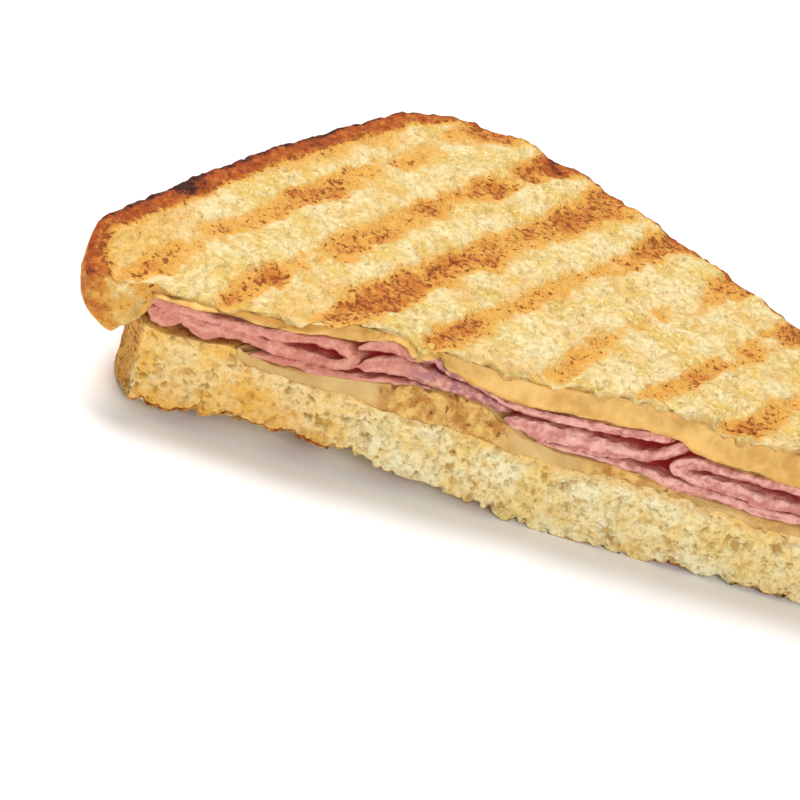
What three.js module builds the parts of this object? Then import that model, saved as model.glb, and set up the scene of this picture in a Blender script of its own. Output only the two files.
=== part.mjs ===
// Half of a pressed ham and cheese sandwich, cut from corner to corner.
// Millimetres, +Z up. The cut face looks along -Y, and the crust runs along the two legs behind it.
// The two slices, the two cheese layers and each folded ham slice are separate pieces that run through
// the sandwich, from the cut face back to where the crusts pinch them.

import * as THREE from 'three';

// The slice before the cut: a rectangle with round corners
const LEFT_LEG = 110;             // crust side behind the cut's left end
const RIGHT_LEG = 126.5;          // crust side behind the cut's right end
const CORNER_RADIUS = 15;
const LEFT_BULGE = 2.6;           // how far the middle of a crust side stands out
const RIGHT_BULGE = 3.5;
const BULGE_FULLNESS = 0.6;
const BULGE_REACH = 30;

// Top slice
const TOP_HEIGHT = 24.7;          // toasted face above the table, half way along the cut
const TOP_SLOPE = 0.026;          // the face rises to the right, where the filling is thicker
const TOP_WAVE = 0.25;
const TOAST_RIM = 1.1;            // what is left of the slice where the knife pressed it down
const DROOP_REACH = 11;           // how far behind the cut the face bends down
const SHOULDER_WIDTH = 3;
const SHOULDER_DROP = 0.8;
const CURL_DEPTH = 1.6;           // the crust hangs lower where the bottom slice doesn't reach
const CURL_START = 0.4;
const CURL_END = 2.6;
const END_HANG = 3;               // and lower still at the cut's left end
const END_HANG_REACH = 12;
const END_HANG_LEFT = -71;
const END_HANG_RIGHT = -68.9;
const TOP_TUCK = 7;               // the left end's crust slants in under the toasted face

// Grill bars, parallel to the left leg
const BAR_FIRST = 10;
const BAR_PITCH = 11.63;
const BAR_COUNT = 10;
const BAR_HALF_WIDTH = 2.9;
const BAR_DEPTH = 0.6;

// Bottom slice: set back from the left leg, and proud of the right leg
const BOTTOM_SETBACK = 5.2;
const BOTTOM_PROUD = 1.2;
const BOTTOM_SHORTER = 2.2;
const BOTTOM_SHORTER_LEFT = 6.3;
const BOTTOM_CORNER_RADIUS = 24;
const BOTTOM_EDGE = 1.3;          // round of the lower rim
const BOTTOM_TUCK = 2.5;
const BASE = -1.2;                // the flat underside, below the cut's straight lower edge
const BASE_LIFT_REACH = 16;       // how far behind the cut the underside is lifted off the table

// The left ends slant in, most of all at the cut
const TUCK_START = -80;
const TUCK_END = -60;
const TUCK_REACH = 34;

// Where the two crusts nearly meet: the height of each layer at the rim
const PINCH_WIDTH = 8.5;
const RIM_BOTTOM_SLICE = 12;
const RIM_LOWER_CHEESE = 12.7;
const RIM_UPPER_CHEESE_UNDER = 13.1;
const RIM_UPPER_CHEESE = 13.5;

// Crags: the crust swells between the faces, with a rough surface, and the crumb is rough at the cut
const CRUST_SWELL = 0.9;
const CRUST_CRAG = 0.3;
const CRUMB_CRAG = 0.22;

// Filling
const GAP = 0.38;
const TIP_GAP = 1.1;              // more room in the thin right end
const TIP_GAP_START = 6;
const START_GAP = 0.3;            // and where the filling starts
const START_GAP_FULL = 17;
const START_GAP_END = 28;
const CHEESE_INSIDE = 1.8;        // upper cheese away from the cut
const THINNEST_CHEESE = 0.5;
const CHEESE_SWELL = 0.7;
const UPPER_CHEESE_START = 12.5;  // from the left leg
const LOWER_CHEESE_START = 25;
const CHEESE_SETBACK = 3;
const CHEESE_CORNER_RADIUS = 17;
const FILLING_FLOOR = 10.5;
const SQUEEZE = 0.28;             // share of the filling's height that is lost behind the cut
const SQUEEZE_REACH = 14;
const COVER_GAP = 0.65;           // room between the ham and the upper cheese
const COVER_SPREAD = 4.4;
const COVER_BLUR = 2;
const LEAST_COVER = 2.6;          // and over the bottom slice, where there is no ham
const HAM_SETBACK = 13;
const HAM_END_SHARE = 0.7;        // the ends of a slice are thinner
const HAM_RAGGED = 0.6;

// How finely the layers are faceted
const SHORT_ROW = 30;
const SHORTEST_ROW = 3;
const CORNER_STEPS = 7;
const BAR_STEPS = 4;
const HAM_STEP = 2.1;
const HAM_DEPTHS = [0, 3, 7, 12, 18];

// Heights on the cut face, as [x, z] points from left to right
const CUT_HEIGHTS = {
  toast: [[-78, 17.6], [-66, 18.9], [-50, 20.3], [-40, 21.7], [-29, 23.8], [-12, 22.6], [0, 22.9],
    [14, 24.6], [24, 23.8], [78, 24.4]],
  bottomSlice: [[-68, 14.2], [-58, 13.3], [-44, 11.9], [-20, 11.4], [2, 10.2], [16, 11], [32, 10.5],
    [78, 11.5]],
  underside: [[-68, 1], [-61, 0.6], [-49, 2.4], [-31, 2.6], [-17, 1.1], [-8, -0.3], [4, -1.2],
    [16, -1.2], [30, -0.5], [78, -0.5]],
  lowerCheese: [[-56, 12.8], [-30, 12.9], [-18, 13.1], [2, 12.2], [16, 12], [32, 11.7], [78, 12.4]],
};

// Ham slices as [x, z] points along the middle of the meat, seen on the cut face
const HAM_SLICES = {
  ham_fold_left: {
    thickness: 1.3,
    line: [[-66, 17.1], [-58, 17.5], [-50, 17.8], [-44, 18.4], [-38.5, 18.9], [-35, 18.3], [-33.8, 17.1],
      [-35, 15.9], [-38.5, 15.7], [-44, 15.9], [-52, 15.9], [-62, 15.3]],
  },
  ham_under_left: {
    thickness: 1.05,
    line: [[-49.5, 14.5], [-44, 14.2], [-36, 14], [-28, 14.5], [-21, 14.9]],
  },
  ham_inner_left: {
    thickness: 1.15,
    line: [[-31.8, 16.4], [-29.5, 17.7], [-25, 17.9], [-19, 17.3], [-14, 16.6], [-10.5, 16]],
  },
  ham_wave_top: {
    thickness: 1.1,
    line: [[-32, 19.9], [-30.3, 21.4], [-28, 21.2], [-26, 19.8], [-24, 19.9], [-22, 20.9], [-19.6, 20.2],
      [-15, 18.9], [-9, 17.8], [0, 18.2], [7, 18.8], [12.6, 19.2]],
  },
  ham_curl_middle: {
    thickness: 1.35,
    line: [[-8.6, 15.3], [0, 15.4], [8, 15.4], [12.5, 15.8], [15.6, 17.2], [17, 19]],
  },
  ham_fold_right: {
    thickness: 1.3,
    line: [[62, 16.8], [54, 17.2], [42, 16.9], [32, 16.8], [25, 17.1], [21, 17], [19, 15.9],
      [20.4, 14.7], [25, 14.6], [34, 14.7], [48, 14.9], [59, 15]],
  },
  ham_under_right: {
    thickness: 1,
    line: [[-4, 13.5], [5, 13.5], [12, 13.6], [18, 13], [28, 12.97], [38, 12.95], [52, 13.1]],
  },
};

const TOAST = { color: 0xe9cf8f, roughness: 0.85 };
const CRUMB = { color: 0xecd79a, roughness: 0.9 };
const UPPER_CHEESE = { color: 0xdfae55, roughness: 0.4 };
const LOWER_CHEESE = { color: 0xecd08c, roughness: 0.45 };
const HAM = { color: 0xd08f8a, roughness: 0.5 };

const { clamp, lerp, smoothstep } = THREE.MathUtils;

// Plan frame: a runs along the right leg and b along the left leg, both from the square corner
const cutLength = Math.hypot(LEFT_LEG, RIGHT_LEG);
const cornerX = LEFT_LEG ** 2 / cutLength - cutLength / 2;
const corner = new THREE.Vector2(cornerX, (LEFT_LEG * RIGHT_LEG) / cutLength);
const alongRight = new THREE.Vector2(RIGHT_LEG, -LEFT_LEG).divideScalar(cutLength);
const alongLeft = new THREE.Vector2(-LEFT_LEG, -RIGHT_LEG).divideScalar(cutLength);

function toPlan(a, b) {
  return corner.clone().addScaledVector(alongRight, a).addScaledVector(alongLeft, b);
}

function toLegs(p) {
  const offset = p.clone().sub(corner);
  return [offset.dot(alongRight), offset.dot(alongLeft)];
}

// Where the row at a meets the cut, as b
function cutAt(a) {
  return (corner.y + a * alongRight.y) / -alongLeft.y;
}

// The filling runs back from the cut beside the left leg. A place has the x where its row meets the cut.
function cutXOf(p) {
  const [a] = toLegs(p);
  return (a * cutLength) / RIGHT_LEG - cutLength / 2;
}

// A smooth height along the cut through [x, z] points, level beyond its ends
function heightAlong(points) {
  return (x) => {
    const next = points.findIndex(([px]) => px > x);
    if (next === 0) return points[0][1];
    if (next < 0) return points.at(-1)[1];
    const [x0, z0] = points[next - 1];
    const [x1, z1] = points[next];
    return lerp(z0, z1, smoothstep(x, x0, x1));
  };
}

const toastEdge = heightAlong(CUT_HEIGHTS.toast);
const bottomSliceEdge = heightAlong(CUT_HEIGHTS.bottomSlice);
const lowerCheeseEdge = heightAlong(CUT_HEIGHTS.lowerCheese);
const undersideEdge = heightAlong(CUT_HEIGHTS.underside);

function bisect(low, high, isLow) {
  let [from, to] = [low, high];
  for (let i = 0; i < 40; i++) {
    const middle = (from + to) / 2;
    if (isLow(middle)) from = middle;
    else to = middle;
  }
  return from;
}

// How far a round corner takes a row's end in, at this distance from the side
function cornerInset(distance, radius) {
  if (distance >= radius) return 0;
  return radius - Math.sqrt(Math.max(radius ** 2 - (radius - distance) ** 2, 0));
}

// A layer in plan: a round-cornered rectangle of crust sides, crossed by the cut
function sliceOutline({ start, side = 0, endA, endB, radius }) {
  const inset = (a) => cornerInset(Math.min(a - start, endA - a), radius);
  const span = (a) => [side + inset(a), Math.min(endB - inset(a), cutAt(a))];
  const onCut = (a) => cutAt(a) <= endB - inset(a) + 1e-6;
  // Distance in from the crust sides, which is negative outside them
  const inFromCrust = (p) => {
    const [a, b] = toLegs(p);
    const outA = Math.abs(a - (start + endA) / 2) - (endA - start) / 2 + radius;
    const outB = Math.abs(b - (side + endB) / 2) - (endB - side) / 2 + radius;
    return radius - Math.hypot(Math.max(outA, 0), Math.max(outB, 0)) - Math.min(Math.max(outA, outB), 0);
  };
  const cutStart = bisect(start, start + radius, (a) => !onCut(a));
  const end = bisect(start + radius, endA, (a) => span(a)[1] - span(a)[0] > SHORTEST_ROW);
  return { start, radius, cutStart, end, span, onCut, inFromCrust };
}

function fullness(share) {
  return Math.sin(Math.PI * clamp(share, 0, 1)) ** BULGE_FULLNESS;
}

// The crust sides swell a little in the middle
function swollen(a, b) {
  const left = LEFT_BULGE * fullness(b / LEFT_LEG) * clamp(1 - a / BULGE_REACH, 0, 1) ** 2;
  const right = RIGHT_BULGE * fullness(a / RIGHT_LEG) * clamp(1 - b / BULGE_REACH, 0, 1) ** 2;
  return toPlan(a - left, b - right);
}

// A place moved to the right under the left end
function tucked(p, amount) {
  const share = (1 - smoothstep(p.x, TUCK_START, TUCK_END)) * (1 - smoothstep(p.y, 0, TUCK_REACH));
  return new THREE.Vector2(p.x + amount * share, p.y);
}

// Rows parallel to the left leg, shared by every layer: close together round the top slice's corner,
// then several to each grill bar
const sharedRows = [];
for (let i = 0; i <= CORNER_STEPS; i++) {
  sharedRows.push(CORNER_RADIUS * (1 - Math.cos((i / CORNER_STEPS) * (Math.PI / 2))));
}
for (let a = BAR_FIRST; a < RIGHT_LEG; a += BAR_PITCH / BAR_STEPS) {
  if (a > CORNER_RADIUS + 0.7) sharedRows.push(a);
}

function rowsOf(outline) {
  const own = [0, 0.04, 0.16].map((share) => outline.start + share * outline.radius);
  const shared = sharedRows.filter((a) => a > own.at(-1) + 0.7 && a < outline.end - 1.5);
  const rows = [...own, ...shared, outline.end].filter((a) => Math.abs(a - outline.cutStart) > 0.4);
  return [...rows, outline.cutStart].sort((p, q) => p - q);
}

// Columns at set distances from the crust side and from the cut, drawn together where a row is short
function columnsOf(outline, a, { fromCrust, fromCut }) {
  const [from, to] = outline.span(a);
  const full = cutAt(a);
  const scale = Math.min(1, full / SHORT_ROW);
  const first = fromCrust.at(-1) * scale;
  const last = full - fromCut[0] * scale;
  const places = [
    ...fromCrust.map((distance) => distance * scale),
    lerp(first, last, 1 / 3),
    lerp(first, last, 2 / 3),
    ...fromCut.map((distance) => full - distance * scale),
  ];
  const stretch = (to - from) / (places.at(-1) - places[0]);
  return places.map((place) => from + (place - places[0]) * stretch);
}

// The grid's border as [row, column], anticlockwise from above
function borderOf(lastRow, lastColumn) {
  const border = [];
  for (let j = 0; j <= lastColumn; j++) border.push([0, j]);
  for (let i = 1; i <= lastRow; i++) border.push([i, lastColumn]);
  for (let j = lastColumn - 1; j >= 0; j--) border.push([lastRow, j]);
  for (let i = lastRow - 1; i >= 1; i--) border.push([i, 0]);
  return border;
}

function crag(x, y, z) {
  return Math.sin(1.3 * x + 0.9 * z) * Math.cos(1.1 * y + 0.5 * x - 1.4 * z);
}

// A closed layer between two height functions over an outline. swell and cragDepth shape its wall, for
// the cut (true) or the crust (false), and tuck slants its left end.
function layer({ outline, columns, top, bottom, wallSteps, swell, cragDepth, tuck = 0 }) {
  const positions = [];
  const faces = [];
  const add = (x, y, z) => positions.push(x, y, z) / 3 - 1;
  const rows = rowsOf(outline);
  const plan = rows.map((a) => columnsOf(outline, a, columns).map((b) => swollen(a, b)));
  const upper = plan.map((row) => row.map((p) => add(p.x, p.y, top(p))));
  const lower = plan.map((row) => row.map((p) => {
    const under = tucked(p, tuck);
    return add(under.x, under.y, bottom(under));
  }));

  const lastRow = rows.length - 1;
  const lastColumn = plan[0].length - 1;
  for (let i = 0; i < lastRow; i++) {
    for (let j = 0; j < lastColumn; j++) {
      const [p, q, r, s] = [upper[i][j], upper[i][j + 1], upper[i + 1][j], upper[i + 1][j + 1]];
      faces.push(p, q, r, r, q, s);
      const [t, u, v, w] = [lower[i][j], lower[i][j + 1], lower[i + 1][j], lower[i + 1][j + 1]];
      faces.push(t, v, u, v, w, u);
    }
  }

  const border = borderOf(lastRow, lastColumn);
  const wall = border.map(([i, j], k) => {
    const [beforeI, beforeJ] = border.at(k - 1);
    const [afterI, afterJ] = border[(k + 1) % border.length];
    const along = plan[afterI][afterJ].clone().sub(plan[beforeI][beforeJ]).normalize();
    const cut = j === lastColumn && i > 0 && outline.onCut(rows[i]);
    const outward = cut ? new THREE.Vector2(0, -1) : new THREE.Vector2(along.y, -along.x);
    return { p: plan[i][j], outward, cut };
  });
  const rings = [border.map(([i, j]) => upper[i][j])];
  for (let step = 1; step < wallSteps; step++) {
    const share = step / wallSteps;
    rings.push(wall.map(({ p, outward, cut }) => {
      const under = tucked(p, tuck);
      const z = lerp(top(p), bottom(under), share);
      const out = swell(cut) * Math.sin(Math.PI * share) + cragDepth(cut) * crag(p.x, p.y, z);
      const x = lerp(p.x, under.x, share ** 1.5);
      return add(x + outward.x * out, p.y + outward.y * out, z);
    }));
  }
  rings.push(border.map(([i, j]) => lower[i][j]));
  for (let ring = 0; ring < wallSteps; ring++) {
    for (let k = 0; k < border.length; k++) {
      const next = (k + 1) % border.length;
      const [p, q] = [rings[ring][k], rings[ring][next]];
      const [r, s] = [rings[ring + 1][k], rings[ring + 1][next]];
      faces.push(r, s, p, s, q, p);
    }
  }
  return closedGeometry(positions, faces);
}

function closedGeometry(positions, faces) {
  const geometry = new THREE.BufferGeometry();
  geometry.setAttribute('position', new THREE.Float32BufferAttribute(positions, 3));
  geometry.setIndex(faces);
  geometry.computeVertexNormals();
  return geometry;
}

// The filling is pressed flatter behind the cut
function squeezed(z, y) {
  return z - SQUEEZE * smoothstep(y, 0, SQUEEZE_REACH) * Math.max(z - FILLING_FLOOR, 0);
}

const topOutline = sliceOutline({ start: 0, endA: RIGHT_LEG, endB: LEFT_LEG, radius: CORNER_RADIUS });
const bottomOutline = sliceOutline({
  start: BOTTOM_SETBACK,
  side: -BOTTOM_PROUD,
  endA: RIGHT_LEG + BOTTOM_SETBACK - BOTTOM_SHORTER,
  endB: LEFT_LEG - BOTTOM_SHORTER_LEFT,
  radius: BOTTOM_CORNER_RADIUS,
});

function hamCurve(line) {
  const points = line.map(([x, z]) => new THREE.Vector3(x, 0, z));
  return new THREE.CatmullRomCurve3(points, false, 'centripetal');
}

// Height of the ham's upper side all along the cut, spread and blurred so that the cheese lies over it
const hamTops = Object.values(HAM_SLICES).flatMap(({ line, thickness }) => (
  hamCurve(line).getSpacedPoints(60).map((p) => [p.x, p.z + thickness / 2])
));
const coverEnd = Math.ceil(cutLength / 2);
const highestNear = [];
for (let x = -coverEnd; x <= coverEnd; x++) {
  const near = hamTops.filter(([hamX]) => Math.abs(hamX - x) < COVER_SPREAD).map(([, z]) => z);
  highestNear.push(Math.max(...near, bottomSliceEdge(x) + LEAST_COVER) + COVER_GAP);
}
const hamCover = highestNear.map((_, i) => {
  const near = highestNear.slice(Math.max(i - COVER_BLUR, 0), i + COVER_BLUR + 1);
  return near.reduce((sum, z) => sum + z, 0) / near.length;
});

function hamCoverAt(x) {
  const place = clamp(x + coverEnd, 0, 2 * coverEnd - 0.01);
  const index = Math.floor(place);
  return lerp(hamCover[index], hamCover[index + 1], place - index);
}

// How far a place is from the pinched rims, 0 at the rim and 1 inside
function insidePinch(outline, p) {
  return smoothstep(outline.inFromCrust(p), 0, PINCH_WIDTH);
}

// The room between two layers
function layerGap(p) {
  const [a] = toLegs(p);
  const atTip = TIP_GAP * (1 - smoothstep(cutAt(a), TIP_GAP_START, SHORT_ROW));
  const atStart = START_GAP * (1 - smoothstep(a, START_GAP_FULL, START_GAP_END));
  return GAP + atTip + atStart;
}

function bottomSliceTop(p) {
  const inner = squeezed(bottomSliceEdge(cutXOf(p)), p.y);
  return lerp(RIM_BOTTOM_SLICE, inner, insidePinch(bottomOutline, p));
}

function lowerCheeseBottom(p) {
  return bottomSliceTop(p) + layerGap(p);
}

function lowerCheeseTop(p) {
  const inner = squeezed(lowerCheeseEdge(cutXOf(p)), p.y);
  const height = lerp(RIM_LOWER_CHEESE, inner, insidePinch(topOutline, p));
  return Math.max(height, lowerCheeseBottom(p) + THINNEST_CHEESE);
}

function upperCheeseBottom(p) {
  const inner = squeezed(hamCoverAt(cutXOf(p)), p.y);
  const height = lerp(RIM_UPPER_CHEESE_UNDER, inner, insidePinch(topOutline, p));
  return Math.max(height, lowerCheeseTop(p) + GAP);
}

// At the cut the melted cheese rises to the toast's edge
function upperCheeseTop(p) {
  const x = cutXOf(p);
  const band = Math.max(toastEdge(x) - GAP, hamCoverAt(x) + THINNEST_CHEESE);
  const inside = squeezed(hamCoverAt(x), p.y) + CHEESE_INSIDE;
  const inner = lerp(band, inside, smoothstep(p.y, 0, DROOP_REACH));
  const height = lerp(RIM_UPPER_CHEESE, inner, insidePinch(topOutline, p));
  return Math.max(height, upperCheeseBottom(p) + THINNEST_CHEESE);
}

function topSliceBottom(p) {
  const beyond = smoothstep(-bottomOutline.inFromCrust(p), CURL_START, CURL_END);
  const nearCut = 1 - smoothstep(p.y, 0, END_HANG_REACH);
  const atLeftEnd = nearCut * (1 - smoothstep(p.x, END_HANG_LEFT, END_HANG_RIGHT));
  return upperCheeseTop(p) + layerGap(p) - beyond * (CURL_DEPTH + END_HANG * atLeftEnd);
}

// Each grill bar presses a shallow groove into the toasted face
function grooveDepth(p) {
  const [a] = toLegs(p);
  const bar = clamp(Math.round((a - BAR_FIRST) / BAR_PITCH), 0, BAR_COUNT - 1);
  const away = Math.abs(a - BAR_FIRST - bar * BAR_PITCH);
  return BAR_DEPTH * (1 - smoothstep(away, 0, BAR_HALF_WIDTH));
}

// The round rim of a slice, as a depth below its face
function shoulder(outline, p, width, drop) {
  const inward = clamp(outline.inFromCrust(p) / width, 0, 1);
  return drop * (1 - Math.sqrt(1 - (1 - inward) ** 2));
}

function topSliceTop(p) {
  const wave = TOP_WAVE * Math.sin(p.x / 13) * Math.cos(p.y / 11);
  const face = TOP_HEIGHT + TOP_SLOPE * p.x + wave;
  const droop = (face - toastEdge(cutXOf(p)) - TOAST_RIM) * (1 - smoothstep(p.y, 0, DROOP_REACH));
  return face - droop - grooveDepth(p) - shoulder(topOutline, p, SHOULDER_WIDTH, SHOULDER_DROP);
}

// The cut's lower edge is lifted here and there, and the rest of the face lies flat on the table
function bottomSliceBottom(p) {
  const lift = (undersideEdge(cutXOf(p)) - BASE) * (1 - smoothstep(p.y, 0, BASE_LIFT_REACH));
  return BASE + lift + shoulder(bottomOutline, p, 2 * BOTTOM_EDGE, BOTTOM_EDGE);
}

function topSlice() {
  return layer({
    outline: topOutline,
    columns: { fromCrust: [0, 1.2, 3, 5.5, 8.5], fromCut: [18, 12, 7, 3, 0] },
    top: topSliceTop,
    bottom: topSliceBottom,
    wallSteps: 3,
    swell: (cut) => (cut ? 0 : CRUST_SWELL),
    cragDepth: (cut) => (cut ? 0 : CRUST_CRAG),
    tuck: TOP_TUCK,
  });
}

function bottomSlice() {
  return layer({
    outline: bottomOutline,
    columns: { fromCrust: [-BOTTOM_PROUD, 0.2, 3, 8.5], fromCut: [18, 7, 3, 0] },
    top: bottomSliceTop,
    bottom: bottomSliceBottom,
    wallSteps: 4,
    swell: (cut) => (cut ? 0 : CRUST_SWELL),
    cragDepth: (cut) => (cut ? CRUMB_CRAG : CRUST_CRAG),
    tuck: BOTTOM_TUCK,
  });
}

function cheeseOutline(start) {
  return sliceOutline({
    start,
    side: CHEESE_SETBACK,
    endA: RIGHT_LEG - CHEESE_SETBACK,
    endB: LEFT_LEG - CHEESE_SETBACK,
    radius: CHEESE_CORNER_RADIUS,
  });
}

function upperCheese() {
  return layer({
    outline: cheeseOutline(UPPER_CHEESE_START),
    columns: { fromCrust: [CHEESE_SETBACK, 5.5, 8.5], fromCut: [18, 12, 7, 3, 0] },
    top: upperCheeseTop,
    bottom: upperCheeseBottom,
    wallSteps: 3,
    swell: () => CHEESE_SWELL,
    cragDepth: () => 0,
  });
}

function lowerCheese() {
  return layer({
    outline: cheeseOutline(LOWER_CHEESE_START),
    columns: { fromCrust: [CHEESE_SETBACK, 8.5], fromCut: [18, 7, 3, 0] },
    top: lowerCheeseTop,
    bottom: lowerCheeseBottom,
    wallSteps: 2,
    swell: () => CHEESE_SWELL / 2,
    cragDepth: () => 0,
  });
}

// How far back a strand of ham runs from x on the cut: it stops short of the crust
function hamReach(x) {
  return cutAt(((x + cutLength / 2) * RIGHT_LEG) / cutLength) - HAM_SETBACK;
}

// Ham: a strip of meat, as thick as the slice, swept back from the cut along the rows
function hamSlice({ line, thickness }) {
  const curve = hamCurve(line);
  const steps = Math.ceil(curve.getLength() / HAM_STEP);
  const positions = [];
  const faces = [];
  for (let k = 0; k <= HAM_DEPTHS.length; k++) {
    for (const side of [1, -1]) {
      for (let i = 0; i <= steps; i++) {
        const p = curve.getPointAt(i / steps);
        const t = curve.getTangentAt(i / steps);
        const nearEnd = clamp(Math.min(i, steps - i) / 2, 0, 1);
        const half = (side * thickness * lerp(HAM_END_SHARE, 1, nearEnd)) / 2;
        const ragged = HAM_RAGGED * (Math.sin(p.x * 0.9 + p.z * 1.7) - 0.5);
        const reach = hamReach(p.x);
        const inner = Math.min(HAM_DEPTHS[k] ?? reach, (reach * k) / HAM_DEPTHS.length);
        const back = k === 0 ? ragged : inner;
        const y = -back * alongLeft.y;
        positions.push(p.x - t.z * half - back * alongLeft.x, y, squeezed(p.z + t.x * half, y));
      }
    }
  }
  const ring = 2 * (steps + 1);
  const around = [];
  for (let i = 0; i <= steps; i++) around.push(i);
  for (let i = steps; i >= 0; i--) around.push(steps + 1 + i);
  for (let k = 0; k < HAM_DEPTHS.length; k++) {
    for (let m = 0; m < ring; m++) {
      const p = k * ring + around[m];
      const q = k * ring + around[(m + 1) % ring];
      faces.push(p, q, p + ring, q, q + ring, p + ring);
    }
  }
  const last = HAM_DEPTHS.length * ring;
  for (let i = 0; i < steps; i++) {
    const [p, q, r, s] = [i, i + 1, steps + 1 + i, steps + 2 + i];
    faces.push(p, r, q, q, r, s);
    faces.push(last + p, last + q, last + r, last + q, last + s, last + r);
  }
  return closedGeometry(positions, faces);
}

function piece(name, geometry, { color, roughness }) {
  const material = new THREE.MeshStandardMaterial({ color, roughness, metalness: 0 });
  const mesh = new THREE.Mesh(geometry, material);
  mesh.name = name;
  return mesh;
}

const sandwich = new THREE.Group();
sandwich.add(piece('bread_bottom', bottomSlice(), CRUMB));
sandwich.add(piece('cheese_lower', lowerCheese(), LOWER_CHEESE));
for (const [name, slice] of Object.entries(HAM_SLICES)) {
  sandwich.add(piece(name, hamSlice(slice), HAM));
}
sandwich.add(piece('cheese_upper', upperCheese(), UPPER_CHEESE));
sandwich.add(piece('bread_top', topSlice(), TOAST));

// The origin is on the table, under the middle of the whole half
const reach = new THREE.Box3().setFromObject(sandwich);
const middle = reach.getCenter(new THREE.Vector3());
sandwich.position.set(-middle.x, -middle.y, -reach.min.z);

const half = new THREE.Group();
half.add(sandwich);

export default half;
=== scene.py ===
# Half of a pressed ham and cheese sandwich, cut from corner to corner
import math

import bpy
import numpy as np
from mathutils import Matrix


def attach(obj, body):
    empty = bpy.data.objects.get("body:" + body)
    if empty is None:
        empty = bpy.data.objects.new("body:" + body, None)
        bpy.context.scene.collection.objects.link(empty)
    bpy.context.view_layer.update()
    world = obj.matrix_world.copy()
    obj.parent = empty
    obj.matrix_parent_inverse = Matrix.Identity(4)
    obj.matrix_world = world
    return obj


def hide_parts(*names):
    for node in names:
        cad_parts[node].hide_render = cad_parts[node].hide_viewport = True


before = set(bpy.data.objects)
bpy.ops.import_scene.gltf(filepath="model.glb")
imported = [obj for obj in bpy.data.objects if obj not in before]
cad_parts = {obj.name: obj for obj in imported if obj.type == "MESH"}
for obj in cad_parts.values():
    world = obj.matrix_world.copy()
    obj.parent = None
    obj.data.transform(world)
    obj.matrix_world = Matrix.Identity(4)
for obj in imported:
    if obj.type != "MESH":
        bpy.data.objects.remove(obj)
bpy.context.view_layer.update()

# Millimetres. The cut face looks along -Y, and the crust runs along the two legs behind it
half = dict(
    leftLeg=110, rightLeg=126.5, cornerRadius=15,
    # how far each leg swells, the power of its sine, and its skew: below 1 it swells more near the corner
    leftSwell=[2.1, 1.3, 1.0], rightSwell=[5.6, 2.6, 0.47], bulgeReach=30,
    tuckReach=34,  # how far back the left ends slant in
    pinchWidth=8.5, rimBottomSlice=12, rimLowerCheese=12.7, rimUpperCheeseUnder=13.1, rimUpperCheese=13.5,
    fillingFloor=10.5, squeeze=0.28, squeezeReach=14,
    originX=0.3376, originY=39.0239, table=-1.2,  # the row frame's origin
    middleX=-8.25, middleY=34.4,  # the point furthest from all three sides
)
cutLength = math.hypot(half["leftLeg"], half["rightLeg"])
corner = np.array([half["leftLeg"] ** 2 / cutLength - cutLength / 2,
                   half["leftLeg"] * half["rightLeg"] / cutLength])
alongRight = np.array([half["rightLeg"], -half["leftLeg"]]) / cutLength
alongLeft = np.array([-half["leftLeg"], -half["rightLeg"]]) / cutLength


# Numbers and noise

# An S-curve from 0 at low to 1 at high
def ease(value, low, high):
    share = np.clip((value - low) / (high - low), 0, 1)
    return share * share * (3 - 2 * share)


def between(start, end, share):
    return start + (end - start) * share


# Repeatable random numbers from 0 to 1, one for each whole-number place
def scattered(seed, *places):
    mixed = np.full(places[0].shape, 7919 * seed + 12345, np.uint64)
    for place in places:
        mixed = (mixed ^ place.astype(np.int64).view(np.uint64)) * np.uint64(0xBF58476D1CE4E5B9)
        mixed ^= mixed >> np.uint64(31)
    mixed = mixed * np.uint64(0x94D049BB133111EB)
    return (mixed >> np.uint64(40)).astype(float) / 2.0**24


# Cloudy noise from -1 to 1: a random number at each lattice corner, eased between them
def cloud(points, size, seed):
    place = points / size
    cell = np.floor(place).astype(np.int64)
    share = place - cell
    share = share * share * (3 - 2 * share)
    total = 0
    for step in np.ndindex(*(2,) * points.shape[-1]):
        weight = np.prod(np.where(step, share, 1 - share), axis=-1)
        total = total + weight * scattered(seed, *np.moveaxis(cell + step, -1, 0))
    return 2 * total - 1


# Clouds added up, each half the size and strength of the one before
def clouds(points, size, seed, layers=3):
    return sum(cloud(points, size / 2**k, seed + 31 * k) / 2**k for k in range(layers)) / 1.6


# Depth of open bubbles: where a point lies in a ball round a random centre, the surface goes in along its
# own direction to the ball's far side. One ball to each lattice cell, and share of the cells have one
def bubbles(points, outward, size, small, large, seed, share=1.0):
    cell = np.floor(points / size).astype(np.int64)
    deepest = np.zeros(points.shape[:-1])
    for step in np.ndindex(3, 3, 3):
        near = np.moveaxis(cell + step - 1, -1, 0)
        spot = np.stack([scattered(seed + k, *near) for k in range(3)], axis=-1)
        centre = (np.moveaxis(near, 0, -1) + spot) * size
        radius = between(small, large, scattered(seed + 3, *near) ** 2)
        radius = np.where(scattered(seed + 4, *near) < share, radius, 0)
        offset = centre - points
        along = np.sum(offset * outward, axis=-1)
        room = radius**2 - np.sum(offset**2, axis=-1)
        depth = np.sqrt(np.maximum(room + along**2, 0)) - along
        deepest = np.maximum(deepest, np.where(room > 0, depth, 0))
    return deepest


# Height along the cut through [x, z] points, eased from each point to the next
def heightAlong(points):
    places, heights = np.array(points, float).T

    def height(x):
        k = np.clip(np.searchsorted(places, x, side="right") - 1, 0, len(places) - 2)
        return between(heights[k], heights[k + 1], ease(x, places[k], places[k + 1]))
    return height


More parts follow.
